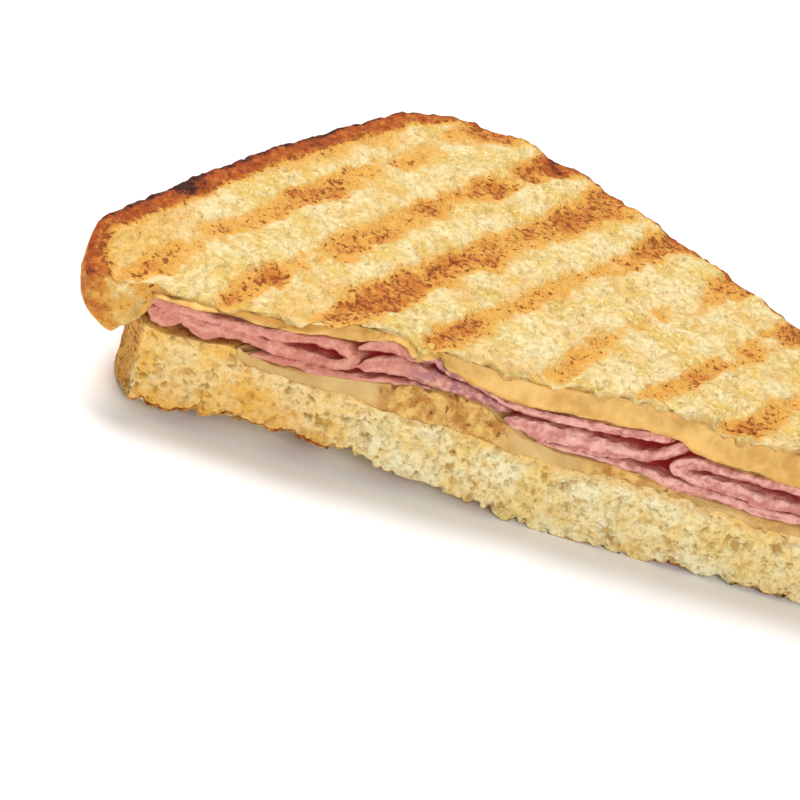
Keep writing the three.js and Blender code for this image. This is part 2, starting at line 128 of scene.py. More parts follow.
# A smooth line through points at even steps: a cubic over each gap, whose slopes come from the square roots
# of the gaps, then resampled by length. Columns after x and z are carried along
def smoothLine(points, spacing):
    p = np.array(points, float)
    p = np.vstack([2 * p[0] - p[1], p, 2 * p[-1] - p[-2]])
    gap = np.sqrt(np.linalg.norm(np.diff(p[:, :2], axis=0), axis=1))[:, None]
    p0, p1, p2, p3 = p[:-3], p[1:-2], p[2:-1], p[3:]
    g0, g1, g2 = gap[:-2], gap[1:-1], gap[2:]
    m1 = ((p1 - p0) / g0 - (p2 - p0) / (g0 + g1) + (p2 - p1) / g1) * g1
    m2 = ((p2 - p1) / g1 - (p3 - p1) / (g1 + g2) + (p3 - p2) / g2) * g1
    t = np.linspace(0, 1, 24, endpoint=False)[:, None, None]
    line = ((2 * t**3 - 3 * t**2 + 1) * p1 + (t**3 - 2 * t**2 + t) * m1
            + (3 * t**2 - 2 * t**3) * p2 + (t**3 - t**2) * m2)
    line = np.vstack([line.transpose(1, 0, 2).reshape(-1, p.shape[1]), p[-2]])
    length = np.append(0, np.cumsum(np.linalg.norm(np.diff(line[:, :2], axis=0), axis=1)))
    even = np.linspace(0, length[-1], max(int(length[-1] / spacing), 4) + 1)
    return np.stack([np.interp(even, length, column) for column in line.T], axis=-1), even


# The plan: a runs along the right leg and b along the left leg, from the square corner

def toPlan(a, b):
    return corner[0] + a * alongRight[0] + b * alongLeft[0], corner[1] + a * alongRight[1] + b * alongLeft[1]


def toLegs(x, y):
    return ((x - corner[0]) * alongRight[0] + (y - corner[1]) * alongRight[1],
            (x - corner[0]) * alongLeft[0] + (y - corner[1]) * alongLeft[1])


# Where the row at a meets the cut, as b
def cutAt(a):
    return (corner[1] + a * alongRight[1]) / -alongLeft[1]


# The x at which a place's row meets the cut
def cutXOf(x, y):
    return toLegs(x, y)[0] * cutLength / half["rightLeg"] - cutLength / 2


# A layer in plan: a rectangle of crust sides with round corners, crossed by the cut
class Outline:
    def __init__(self, start, side, endA, endB, radius):
        self.start, self.side, self.endA, self.endB, self.radius = start, side, endA, endB, radius
        a = np.linspace(start + radius, endA, 4001)
        low, high = self.span(a)
        self.end = a[high - low > 3][-1]

    def inset(self, a):
        reach = np.clip(self.radius - np.minimum(a - self.start, self.endA - a), 0, self.radius)
        return self.radius - np.sqrt(self.radius**2 - reach**2)

    def span(self, a):
        inset = self.inset(a)
        return self.side + inset, np.minimum(self.endB - inset, cutAt(a))

    # Distance in from the swollen crust sides, which is negative outside them
    def inward(self, x, y):
        a, b = toLegs(x, y)
        left, right = swellOf(a, b)
        a, b = a + left, b + right
        outA = np.abs(a - (self.start + self.endA) / 2) - (self.endA - self.start) / 2 + self.radius
        outB = np.abs(b - (self.side + self.endB) / 2) - (self.endB - self.side) / 2 + self.radius
        return (self.radius - np.hypot(np.maximum(outA, 0), np.maximum(outB, 0))
                - np.minimum(np.maximum(outA, outB), 0))

    # Rows across the layer: close together round its corner, then a fine and a coarse step
    def rows(self, fine, coarse, change):
        turn = np.linspace(0, np.pi / 2, int(1.4 * self.radius / fine))
        first = self.start + self.radius * (1 - np.cos(turn))
        middle = np.arange(first[-1] + fine, change, fine)
        last = np.arange(change, self.end - coarse / 2, coarse)
        return np.concatenate([first, middle, last, [self.end]])


# Places once round a layer, anticlockwise from above, with the direction outwards and the share of cut
def borderOf(outline, rows, shares):
    low, high = outline.span(rows)
    inset = outline.inset(rows)
    a = np.concatenate([np.full(len(shares), rows[0]), rows[1:],
                        np.full(len(shares) - 1, rows[-1]), rows[-2:0:-1]])
    b = np.concatenate([between(low[0], high[0], shares), high[1:],
                        between(low[-1], high[-1], shares[-2::-1]), low[-2:0:-1]])
    cut = np.zeros(len(a))
    cut[len(shares):len(shares) + len(rows) - 1] = (cutAt(rows) <= outline.endB - inset + 1e-6)[1:]
    x, y = swollen(a, b)
    alongX, alongY = np.roll(x, -1) - np.roll(x, 1), np.roll(y, -1) - np.roll(y, 1)
    length = np.hypot(alongX, alongY) + 1e-9
    outX = np.where(cut > 0, 0, alongY / length)
    outY = np.where(cut > 0, -1, -alongX / length)
    blur = np.hanning(11) / np.hanning(11).sum()
    outX, outY, cut = [sum(w * np.roll(v, k - 5) for k, w in enumerate(blur)) for v in (outX, outY, cut)]
    length = np.hypot(outX, outY) + 1e-9
    return dict(x=x, y=y, outX=outX / length, outY=outY / length, cut=cut)


# How far the legs swell at a place along them, less and less towards the inside
def swellOf(a, b):
    fromLeg = [(half["leftSwell"], a, b / half["leftLeg"]), (half["rightSwell"], b, a / half["rightLeg"])]
    return [most * np.sin(np.pi * np.clip(along, 0, 1) ** skew) ** power
            * np.clip(1 - depth / half["bulgeReach"], 0, 1) ** 2
            for (most, power, skew), depth, along in fromLeg]


def swollen(a, b):
    left, right = swellOf(a, b)
    return toPlan(a - left, b - right)


# x moved to the right under the left end, as tuck = [most, from x, to x] says
def tucked(x, y, tuck):
    most, left, right = tuck
    return x + most * (1 - ease(x, left, right)) * (1 - ease(y, 0, half["tuckReach"]))


# The filling is pressed flatter behind the cut
def squeezed(z, y):
    return z - half["squeeze"] * ease(y, 0, half["squeezeReach"]) * np.maximum(z - half["fillingFloor"], 0)


# Meshes and materials

# A mesh object in the row frame from points in millimetres, quads, triangles and a value a point
def makePiece(name, points, quads, triangles, values, node, material):
    shift = np.array([half["originX"], half["originY"], half["table"]])
    mesh = bpy.data.meshes.new(name)
    mesh.vertices.add(len(points))
    mesh.vertices.foreach_set("co", ((points - shift) / 1000).astype(np.float32).ravel())
    corners = np.concatenate([quads.ravel(), triangles.ravel()])
    mesh.loops.add(len(corners))
    mesh.loops.foreach_set("vertex_index", corners.astype(np.int32))
    starts = np.concatenate([np.arange(len(quads)) * 4, quads.size + np.arange(len(triangles)) * 3])
    mesh.polygons.add(len(starts))
    mesh.polygons.foreach_set("loop_start", starts.astype(np.int32))
    mesh.polygons.foreach_set("use_smooth", np.ones(len(starts), bool))
    mesh.update(calc_edges=True)
    for key, value in values.items():
        attribute = mesh.attributes.new(key, "FLOAT", "POINT")
        attribute.data.foreach_set("value", np.asarray(value, np.float32).ravel())
    mesh.materials.append(material)
    piece = bpy.data.objects.new(name, mesh)
    bpy.context.scene.collection.objects.link(piece)
    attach(piece, "root")
    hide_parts(node)
    print("made", name, len(quads) * 2 + len(triangles), "triangles")
    return piece


# Quads between rings of the same number of points, the last joined to the first
def ringQuads(first, rings, count):
    k, i = np.meshgrid(np.arange(rings - 1), np.arange(count), indexing="ij")
    here, after = first + k * count + i, first + k * count + (i + 1) % count
    return np.stack([here, here + count, after + count, after], axis=-1).reshape(-1, 4)


# Triangles from a ring to a point in its middle
def poleTriangles(pole, first, count, upward):
    here = np.arange(count)
    after = (here + 1) % count
    pair = (here, after) if upward else (after, here)
    return np.stack([np.full(count, pole), first + pair[0], first + pair[1]], axis=-1)


# A layer as rings: from the middle of its top outwards, down its wall and back to the middle below.
# top and bottom give heights, and wall moves the points of the wall
def ringLayer(outline, rows, shares, caps, wallSteps, top, bottom, wall, tuck=(0, -80, -65)):
    border = borderOf(outline, rows, shares)
    x, y = border["x"], border["y"]
    underX = tucked(x, y, tuck)
    inwards = 1 - np.array(caps)[:, None] / half["middleY"]
    topX = half["middleX"] + (x - half["middleX"]) * inwards
    topY = half["middleY"] + (y - half["middleY"]) * inwards
    lowX = half["middleX"] + (underX - half["middleX"]) * inwards[::-1]
    lowY = topY[::-1]
    share = np.linspace(0, 1, wallSteps + 1)[1:-1, None]
    wallX = between(x, underX, share)
    wallY = np.broadcast_to(y, wallX.shape)
    wallZ = between(top(x, y), bottom(underX, y), share)
    points = np.stack([wallX, wallY, wallZ], axis=-1)
    points = wall(points, share, border)
    above = np.stack([topX, topY, top(topX, topY)], axis=-1)
    below = np.stack([lowX, lowY, bottom(lowX, lowY)], axis=-1)
    return np.concatenate([above, points, below]), border


# A closed piece from rings, with a point in the middle of the first and the last
def ringPiece(name, points, values, material, node):
    rings, count = points.shape[:2]
    flat = np.vstack([points.reshape(-1, 3), points[0].mean(0), points[-1].mean(0)])
    last = rings * count
    quads = ringQuads(0, rings, count)
    triangles = np.vstack([poleTriangles(last, 0, count, True),
                           poleTriangles(last + 1, last - count, count, False)])
    full = {}
    for key, value in values.items():
        value = np.broadcast_to(value, (rings, count))
        full[key] = np.append(value.ravel(), [value[0].mean(), value[-1].mean()])
    return makePiece(name, flat, quads, triangles, full, node, material)


# The share down the wall of each ring: 0 above it and 1 below it
def ringShares(caps, wallSteps):
    return np.concatenate([np.zeros(len(caps)), np.linspace(0, 1, wallSteps + 1)[1:-1],
                           np.ones(len(caps))])[:, None]


# A colour as it looks on screen, made linear
def screen(red, green, blue):
    return [c / 12.92 if c <= 0.04045 else ((c + 0.055) / 1.055) ** 2.4 for c in (red, green, blue)] + [1]


# A node whose inputs are numbers, colours or other nodes' outputs
def addNode(tree, kind, inputs=(), **settings):
    made = tree.nodes.new(kind)
    for key, value in settings.items():
        setattr(made, key, value)
    for key, value in dict(inputs).items():
        if isinstance(value, bpy.types.NodeSocket):
            tree.links.new(value, made.inputs[key])
        else:
            made.inputs[key].default_value = value
    return made


def mixColour(tree, share, first, second):
    made = addNode(tree, "ShaderNodeMix", data_type="RGBA")
    for index, value in ((0, share), (6, first), (7, second)):
        if isinstance(value, bpy.types.NodeSocket):
            tree.links.new(value, made.inputs[index])
        else:
            made.inputs[index].default_value = value
    return made.outputs[2]


def noise(tree, vector, scale, detail=3, roughness=0.55):
    return addNode(tree, "ShaderNodeTexNoise", {
        "Vector": vector, "Scale": scale, "Detail": detail, "Roughness": roughness}).outputs["Fac"]


# A value moved from the range low to high into 0 to 1
def spread(tree, value, low, high):
    return addNode(tree, "ShaderNodeMapRange", {
        "Value": value, "From Min": low, "From Max": high}, interpolation_type="SMOOTHSTEP").outputs["Result"]


def maths(tree, operation, first, second=0.0, clamp=False):
    return addNode(tree, "ShaderNodeMath", {0: first, 1: second}, operation=operation,
                   use_clamp=clamp).outputs[0]


def attribute(tree, name):
    return addNode(tree, "ShaderNodeAttribute", attribute_name=name).outputs["Fac"]


def newGroup(name, inputs, outputs):
    group = bpy.data.node_groups.new(name, "ShaderNodeTree")
    for title, kind in inputs:
        group.interface.new_socket(title, in_out="INPUT", socket_type=kind)
    for title, kind in outputs:
        group.interface.new_socket(title, in_out="OUTPUT", socket_type=kind)
    return group, group.nodes.new("NodeGroupInput").outputs, group.nodes.new("NodeGroupOutput").inputs


def useGroup(tree, group, inputs):
    made = tree.nodes.new("ShaderNodeGroup")
    made.node_tree = group
    for key, value in inputs.items():
        if isinstance(value, bpy.types.NodeSocket):
            tree.links.new(value, made.inputs[key])
        else:
            made.inputs[key].default_value = value
    return made.outputs


number, vectorKind, colourKind = "NodeSocketFloat", "NodeSocketVector", "NodeSocketColor"


# Browning: a base colour goes gold, brown, dark and then char as Amount rises, broken up by a coarse grain
def browningGroup():
    group, given, result = newGroup("browning", [
        ("Vector", vectorKind), ("Color", colourKind), ("Amount", number)], [("Color", colourKind)])
    coarse = maths(group, "SUBTRACT", noise(group, given["Vector"], 800, 4, 0.7), 0.5)
    broken = maths(group, "ADD", given["Amount"], maths(group, "MULTIPLY", coarse, maths(
        group, "MULTIPLY", given["Amount"], 1.5)))
    gold = mixColour(group, spread(group, broken, 0.05, 0.5), given["Color"], screen(0.90, 0.67, 0.31))
    brown = mixColour(group, spread(group, broken, 0.5, 1.0), gold, screen(0.79, 0.47, 0.18))
    dark = mixColour(group, spread(group, broken, 0.95, 1.4), brown, screen(0.66, 0.30, 0.10))
    char = mixColour(group, spread(group, broken, 1.4, 1.9), dark, screen(0.27, 0.12, 0.07))
    group.links.new(char, result["Color"])
    return group


# Mottle: two colours in soft patches, with a finer grain over them
def mottleGroup():
    group, given, result = newGroup("mottle", [
        ("Vector", vectorKind), ("Scale", number), ("First", colourKind), ("Second", colourKind)],
        [("Color", colourKind), ("Grain", number)])
    patches = spread(group, noise(group, given["Vector"], given["Scale"], 3, 0.6), 0.35, 0.65)
    grain = noise(group, given["Vector"], maths(group, "MULTIPLY", given["Scale"], 5.0), 3, 0.6)
    group.links.new(mixColour(group, patches, given["First"], given["Second"]), result["Color"])
    group.links.new(grain, result["Grain"])
    return group


# Specks: small uneven spots of mixed sizes, denser as Amount rises
def speckGroup():
    group, given, result = newGroup("specks", [
        ("Vector", vectorKind), ("Scale", number), ("Amount", number)], [("Mask", number)])
    warp = addNode(group, "ShaderNodeTexNoise", {"Vector": given["Vector"], "Scale": maths(
        group, "MULTIPLY", given["Scale"], 1.3), "Detail": 2}).outputs["Color"]
    moved = addNode(group, "ShaderNodeVectorMath", {0: warp, 1: (0.5, 0.5, 0.5)}, operation="SUBTRACT").outputs[0]
    scaled = addNode(group, "ShaderNodeVectorMath", {0: given["Vector"]}, operation="SCALE")
    group.links.new(given["Scale"], scaled.inputs["Scale"])
    uneven = addNode(group, "ShaderNodeVectorMath", {0: scaled.outputs[0], 1: moved}, operation="ADD").outputs[0]
    cells = addNode(group, "ShaderNodeTexVoronoi", {"Vector": uneven, "Scale": 1.0})
    parts = addNode(group, "ShaderNodeSeparateColor", {"Color": cells.outputs["Color"]}).outputs
    chosen = maths(group, "LESS_THAN", parts[0], given["Amount"])
    size = maths(group, "ADD", maths(group, "MULTIPLY", parts[1], 0.32), 0.14)
    spot = spread(group, maths(group, "DIVIDE", cells.outputs["Distance"], size), 1.1, 0.5)
    group.links.new(maths(group, "MULTIPLY", chosen, spot), result["Mask"])
    return group


browning, mottle, specks = browningGroup(), mottleGroup(), speckGroup()


def newMaterial(name):
    material = bpy.data.materials.new(name)
    material.use_nodes = True
    tree = material.node_tree
    place = addNode(tree, "ShaderNodeTexCoord").outputs["Object"]
    mapped = addNode(tree, "ShaderNodeMapping", {"Vector": place}).outputs["Vector"]
    return material, tree, tree.nodes["Principled BSDF"], mapped


def bump(tree, shader, height, distance, strength=1.0):
    made = addNode(tree, "ShaderNodeBump", {"Height": height, "Distance": distance, "Strength": strength})
    tree.links.new(made.outputs["Normal"], shader.inputs["Normal"])


underBars = dict(first=0.010, spacing=0.0119, inner=0.0014, outer=0.0034, wave=0.003, plain=0.15, most=0.95)


# Grill bars where "below" is 1: even places along the right leg, with wavy edges and uneven strength
def undersideBars(tree, place):
    start = ((half["originX"] - corner[0]) * alongRight[0] + (half["originY"] - corner[1]) * alongRight[1]) / 1000
    along = addNode(tree, "ShaderNodeVectorMath", {0: place, 1: (alongRight[0], alongRight[1], 0)},
                    operation="DOT_PRODUCT").outputs["Value"]
    away = maths(tree, "PINGPONG", maths(tree, "ADD", along, start - underBars["first"]), underBars["spacing"] / 2)
    wave = maths(tree, "MULTIPLY", maths(tree, "SUBTRACT", noise(tree, place, 260), 0.5), 2 * underBars["wave"])
    bar = spread(tree, maths(tree, "ADD", away, wave), underBars["outer"], underBars["inner"])
    strength = maths(tree, "MULTIPLY", bar, spread(tree, noise(tree, place, 70, 2), 0.3, 0.62))
    amount = maths(tree, "ADD", maths(tree, "MULTIPLY", strength, underBars["most"]), underBars["plain"])
    return maths(tree, "MULTIPLY", amount, attribute(tree, "below"))


# Bread: crumb in cream and yellow patches with crisp pale grains, painted shade in small pits and down
# its pores, browned by the "toasted" value with dark flecks in the brown, fewer where it is "crusted", and
# stained by the "soaked" value
def breadMaterial(name, cream, yellow, pit, soak, pitShare):
    material, tree, shader, place = newMaterial(name)
    base = useGroup(tree, mottle, {"Vector": place, "Scale": 170.0, "First": cream, "Second": yellow})
    # Small pits painted darker, as painted shade of the pits
    fine = useGroup(tree, specks, {"Vector": place, "Scale": 1150.0, "Amount": 0.62})["Mask"]
    wide = useGroup(tree, specks, {"Vector": place, "Scale": 560.0, "Amount": 0.34})["Mask"]
    pits = maths(tree, "MAXIMUM", maths(tree, "MULTIPLY", fine, 0.7), wide)
    uneven = spread(tree, noise(tree, place, 420, 3, 0.6), 0.35, 0.68)
    # Painted shade down the pores, from the depth of the open bubbles
    pore = maths(tree, "MULTIPLY", spread(tree, attribute(tree, "pore"), 0.2, 0.95), 0.85)
    shade = maths(tree, "MULTIPLY", maths(tree, "MULTIPLY", pits, uneven), pitShare)
    grain = maths(tree, "MULTIPLY", spread(tree, base["Grain"], 0.44, 0.64), 0.42)
    tone = mixColour(tree, grain, base["Color"], pit)
    soaked = attribute(tree, "soaked")
    tone = mixColour(tree, soaked, tone, soak)
    crisp = maths(tree, "MULTIPLY", spread(tree, noise(tree, place, 1000, 2, 0.6), 0.5, 0.64), maths(
        tree, "SUBTRACT", 0.5, maths(tree, "MULTIPLY", soaked, 0.35)))
    tone = mixColour(tree, crisp, tone, screen(0.99, 0.93, 0.72))
    tone = mixColour(tree, maths(tree, "MAXIMUM", shade, pore), tone, pit)
    toasted = maths(tree, "MAXIMUM", attribute(tree, "toasted"), undersideBars(tree, place))
    tone = useGroup(tree, browning, {"Vector": place, "Color": tone, "Amount": toasted})["Color"]
    fleck = maths(tree, "ADD", noise(tree, place, 1150, 2, 0.6), maths(
        tree, "MULTIPLY", maths(tree, "MINIMUM", toasted, 0.9), 0.24))
    light = maths(tree, "MULTIPLY", spread(tree, toasted, 0.1, 0.5), spread(tree, toasted, 1.3, 0.95))
    clear = maths(tree, "SUBTRACT", 1.0, maths(tree, "MULTIPLY", attribute(tree, "crusted"), 0.65))
    flecks = maths(tree, "MULTIPLY", maths(tree, "MULTIPLY", spread(tree, fleck, 0.69, 0.79), light), clear)
    tone = mixColour(tree, maths(tree, "MULTIPLY", flecks, 0.9), tone, screen(0.55, 0.27, 0.08))
    tree.links.new(tone, shader.inputs["Base Color"])
    shader.inputs["Roughness"].default_value = 0.8
    shader.inputs["Specular IOR Level"].default_value = 0.25
    relief = maths(tree, "SUBTRACT", noise(tree, place, 1100, 4, 0.65), maths(tree, "MULTIPLY", pits, 0.12))
    bump(tree, shader, relief, 0.001, 1.0)
    return material


# Cheese: soft patches of two yellows, which turn to rough toasted amber with brown specks as the toasting value rises
# to 1, and to a dark brown painted shade above 1
def cheeseMaterial(name, first, second):
    material, tree, shader, place = newMaterial(name)
    base = useGroup(tree, mottle, {"Vector": place, "Scale": 170.0, "First": first, "Second": second})
    toastAndShade = attribute(tree, "toastAndShade")
    rough = useGroup(tree, mottle, {"Vector": place, "Scale": 450.0, "First": screen(0.74, 0.49, 0.18),
                                    "Second": screen(0.94, 0.77, 0.43)})
    tone = mixColour(tree, maths(tree, "MINIMUM", toastAndShade, 1.0), base["Color"], rough["Color"])
    mask = useGroup(tree, specks, {"Vector": place, "Scale": 620.0, "Amount": maths(
        tree, "MULTIPLY", toastAndShade, 0.6, True)})["Mask"]
    tone = mixColour(tree, maths(tree, "MULTIPLY", mask, 0.85), tone, screen(0.50, 0.26, 0.08))
    # Painted shade: dark brown above 1, in a thin line where the cheese meets the ham
    tone = mixColour(tree, spread(tree, toastAndShade, 1.0, 1.5), tone, screen(0.42, 0.20, 0.10))
    tree.links.new(tone, shader.inputs["Base Color"])
    shader.inputs["Roughness"].default_value = 0.42
    shader.inputs["Specular IOR Level"].default_value = 0.4
    bump(tree, shader, maths(tree, "MULTIPLY", rough["Grain"], maths(tree, "ADD", toastAndShade, 0.3)), 0.0008, 0.7)
    return material


# Ham: pink meat in streaks along the slice, paler at its cut edge, more orange towards the left end, duller
# in the middle, with painted dark red shade deep in the folds and a painted dark red glow there
def hamMaterial():
    material, tree, shader, place = newMaterial("ham_meat")
    grain = noise(tree, place, 620, 4, 0.65)
    streak = maths(tree, "ADD", maths(tree, "MULTIPLY", attribute(tree, "streak"), 0.14), grain)
    tone = mixColour(tree, spread(tree, streak, 0.36, 0.66), screen(0.76, 0.46, 0.42), screen(0.91, 0.67, 0.61))
    fat = useGroup(tree, specks, {"Vector": place, "Scale": 700.0, "Amount": 0.3})["Mask"]
    tone = mixColour(tree, maths(tree, "MULTIPLY", fat, 0.35), tone, screen(0.93, 0.76, 0.69))
    pale = maths(tree, "MULTIPLY", attribute(tree, "edge"), spread(tree, grain, 0.38, 0.62))
    tone = mixColour(tree, pale, tone, screen(0.93, 0.74, 0.68))
    across = addNode(tree, "ShaderNodeSeparateXYZ", {"Vector": place}).outputs["X"]
    tone = mixColour(tree, maths(tree, "MULTIPLY", spread(tree, across, 0.005, -0.04), 0.5), tone,
                     screen(0.78, 0.46, 0.34))
    middle = maths(tree, "MULTIPLY", spread(tree, across, -0.029, -0.021), spread(tree, across, -0.006, -0.013))
    dull = maths(tree, "MULTIPLY", middle, spread(tree, grain, 0.62, 0.4))
    tone = mixColour(tree, maths(tree, "MULTIPLY", dull, 0.75), tone, screen(0.58, 0.38, 0.43))
    # Painted shade: the meat goes dark red the further back into the folds it lies, and the same value drives a painted
    # glow below
    foldShadeGlow = attribute(tree, "foldShadeGlow")
    tone = mixColour(tree, foldShadeGlow, tone, screen(0.58, 0.17, 0.18))
    tree.links.new(tone, shader.inputs["Base Color"])
    tree.links.new(mixColour(tree, foldShadeGlow, screen(0, 0, 0), screen(0.50, 0.12, 0.12)), shader.inputs["Emission Color"])
    shader.inputs["Emission Strength"].default_value = 0.5  # painted glow: the deep folds give off a dark red light of their own
    shader.inputs["Roughness"].default_value = 0.34
    shader.inputs["Specular IOR Level"].default_value = 0.5
    bump(tree, shader, streak, 0.0011, 0.85)
    return material


toastMaterial = breadMaterial("toasted_bread", screen(0.95, 0.87, 0.66), screen(0.90, 0.76, 0.42),
                              screen(0.77, 0.62, 0.32), screen(0.82, 0.63, 0.34), 0.8)
crumbMaterial = breadMaterial("cut_crumb", screen(1.0, 0.96, 0.78), screen(0.98, 0.86, 0.55),
                              screen(0.75, 0.57, 0.25), screen(0.95, 0.71, 0.27), 0.95)
amberCheese = cheeseMaterial("amber_cheese", screen(0.77, 0.57, 0.24), screen(0.90, 0.72, 0.40))
paleCheese = cheeseMaterial("pale_cheese", screen(0.76, 0.60, 0.34), screen(0.83, 0.69, 0.43))
hamMeat = hamMaterial()
print("materials ready")


# Heights on the cut face, as [x, z] points from left to right
cutHeights = dict(
    toast=heightAlong([[-78, 17.6], [-66, 18.8], [-60, 19], [-52, 20], [-45, 20.4], [-40, 22], [-36, 22.9],
                       [-32, 23.3], [-20, 22.6], [-8, 22.1], [0, 23], [7, 24], [16, 23.9], [24, 23],
                       [34, 23.2], [60, 23.2], [78, 20.5]]),
    bottomSlice=heightAlong([[-68, 13.8], [-62, 12.9], [-57, 13.2], [-52, 13.9], [-48.5, 12.7], [-44, 12.2],
                             [-28, 11.6], [-20, 11.3], [-8, 10.8], [2, 10.2], [10, 11], [16, 11.8], [21, 11.4],
                             [26, 10.6], [32, 10.4], [78, 11.5]]),
    underside=heightAlong([[-68, 1], [-61, 0.6], [-49, 2.4], [-31, 2.6], [-17, 1.1], [-8, -0.3], [4, -1.2],
                           [16, -1.2], [30, -0.5], [78, -0.5]]),
    lowerCheese=heightAlong([[-56, 12.8], [-52, 13.3], [-49, 13.8], [-45, 13.1], [-40, 13.4], [-35, 14],
                             [-29, 15.1], [-23, 16.4], [-18, 16.8], [-13, 16.4], [-9, 14.6], [-5, 12.9],
                             [2, 12.3], [8, 12.9], [13, 12.8], [18, 12.3], [24, 11.6], [32, 11.5], [78, 12.6]]),
    leftEnd=heightAlong([[-78, 11.6], [-73, 10.7], [-69.6, 10.8], [-68.2, 12.2], [-66.6, 13.9], [-65, 17.6]]),
    hamTop=heightAlong([[-78, 17.5], [-66, 18.1], [-50, 18.5], [-45, 19], [-40, 19.9], [-35, 20.2], [-32.5, 21.4],
                        [-30, 22.3], [-28, 21.8], [-26, 20.4], [-24.4, 20.6], [-22.6, 21.9], [-20.5, 20.3],
                        [-15, 18.9], [-9, 18.1], [0, 18.7], [8, 19.3], [12, 19.9], [17, 19.9], [20.5, 18.5],
                        [26, 17.9], [62, 17.8], [70, 15.2], [78, 13.6]]),
)

# Ham slices as [x, z, thickness] points along the middle of the meat, seen on the cut face
hamSlices = dict(
    ham_fold_left=[
        [-66.3, 17.2, 1.5], [-61, 17.2, 1.9], [-57, 17.2, 1.8], [-50, 17.4, 1.8], [-44, 18.1, 1.6], [-40, 18.8, 1.6],
        [-36.8, 18.7, 1.7], [-34.4, 17.2, 2.0], [-36.6, 15.6, 1.8], [-41, 15.5, 1.9], [-50, 15.9, 1.9],
        [-54.5, 15.8, 1.6], [-57, 15, 3], [-60.3, 15.9, 1.5], [-63.4, 15.2, 2.8], [-66, 16, 1.7]],
    ham_under_left=[
        [-48.6, 13.7, 1.1], [-44, 14, 1.4], [-36, 14.2, 1.3], [-30, 15.3, 1.0], [-25, 16, 0.9], [-21.5, 16.4, 0.6]],
    ham_inner_left=[
        [-33.4, 16.6, 1.3], [-31.2, 17.4, 2.7], [-28.6, 18.1, 3.5], [-25.5, 18.2, 3.0], [-21, 17.9, 2.3],
        [-15.5, 17.2, 1.7], [-9.4, 16.3, 1.2]],
    ham_wave_top=[
        [-34.2, 19.6, 1.6], [-32, 20.6, 2.0], [-29.8, 21.2, 2.0], [-27.8, 20.6, 1.5], [-26.2, 19.9, 0.9],
        [-24.4, 20.2, 1.0], [-22.7, 20.9, 1.5], [-21, 20.1, 1.1], [-18, 19.3, 0.9], [-14, 18.5, 0.8],
        [-9.5, 17.6, 0.9], [-4, 17.4, 1.1], [2, 17.8, 1.4], [8, 18.3, 1.5], [11.2, 18.9, 1.6], [16, 19.3, 1.3]],
    ham_curl_middle=[
        [-9.2, 15.2, 1.5], [-5, 14.8, 2.6], [0, 14.8, 3.1], [5, 14.9, 2.9], [9, 15, 2.4], [12.5, 15.4, 1.9],
        [15, 16.5, 1.8], [16.9, 17.8, 2.1], [18.6, 19.2, 2.0]],
    ham_fold_right=[
        [66, 16, 1.0], [62, 16.8, 1.3], [50, 17, 1.4], [42, 17, 1.4], [32, 16.9, 1.4], [25, 16.8, 1.4],
        [20.6, 16.6, 1.6], [18.2, 15.4, 1.9], [20.6, 14.2, 1.9], [26, 14.2, 2.1], [34, 14.1, 2.0], [48, 14.3, 1.8],
        [59, 14.5, 1.6], [65, 14.4, 1.2]],
    ham_under_right=[
        [-3.4, 12.8, 0.8], [5, 13.1, 0.9], [10, 13.3, 1.1], [14, 13, 1.5], [18, 12.7, 1.6], [25, 12.4, 1.5],
        [32, 12.3, 1.5], [40, 12.4, 1.5], [52, 12.9, 1.4], [60, 13, 1.1]],
)

filling = dict(cheeseInside=1.8, thinnest=0.5)


topOutline = Outline(0, 0, half["rightLeg"], half["leftLeg"] - 2.6, half["cornerRadius"])
bottomOutline = Outline(5.2, -1.2, half["rightLeg"] + 3.0, half["leftLeg"] - 7.6, 22)


# 0 at the pinched rims and 1 inside them
def insidePinch(outline, x, y):
    return ease(outline.inward(x, y), 0, half["pinchWidth"])


# 1 at the left end of the cut, which isn't pinched: the slices meet there
def leftEndShare(x, y):
    return (1 - ease(y, 2, 10)) * (1 - ease(x, -58, -50))


def bottomSliceTop(x, y):
    inner = squeezed(cutHeights["bottomSlice"](cutXOf(x, y)), y)
    inside = np.maximum(insidePinch(bottomOutline, x, y), leftEndShare(x, y))
    return between(half["rimBottomSlice"], inner, inside)


def lowerCheeseTop(x, y):
    inner = squeezed(cutHeights["lowerCheese"](cutXOf(x, y)), y)
    height = between(half["rimLowerCheese"], inner, insidePinch(topOutline, x, y))
    return np.maximum(height, bottomSliceTop(x, y) + filling["thinnest"])


def upperCheeseBottom(x, y):
    inner = squeezed(cutHeights["hamTop"](cutXOf(x, y)), y)
    height = between(half["rimUpperCheeseUnder"], inner, insidePinch(topOutline, x, y))
    return np.maximum(height, lowerCheeseTop(x, y) + 0.1)


# At the cut the melted cheese rises to the toast's edge
def upperCheeseTop(x, y):
    cutX = cutXOf(x, y)
    band = np.maximum(cutHeights["toast"](cutX), cutHeights["hamTop"](cutX) + filling["thinnest"])
    inside = squeezed(cutHeights["hamTop"](cutX), y) + filling["cheeseInside"]
    inner = between(band, inside, ease(y, 0, topSlice["droopReach"]))
    height = between(half["rimUpperCheese"], inner, insidePinch(topOutline, x, y))
    return np.maximum(height, upperCheeseBottom(x, y) + filling["thinnest"])


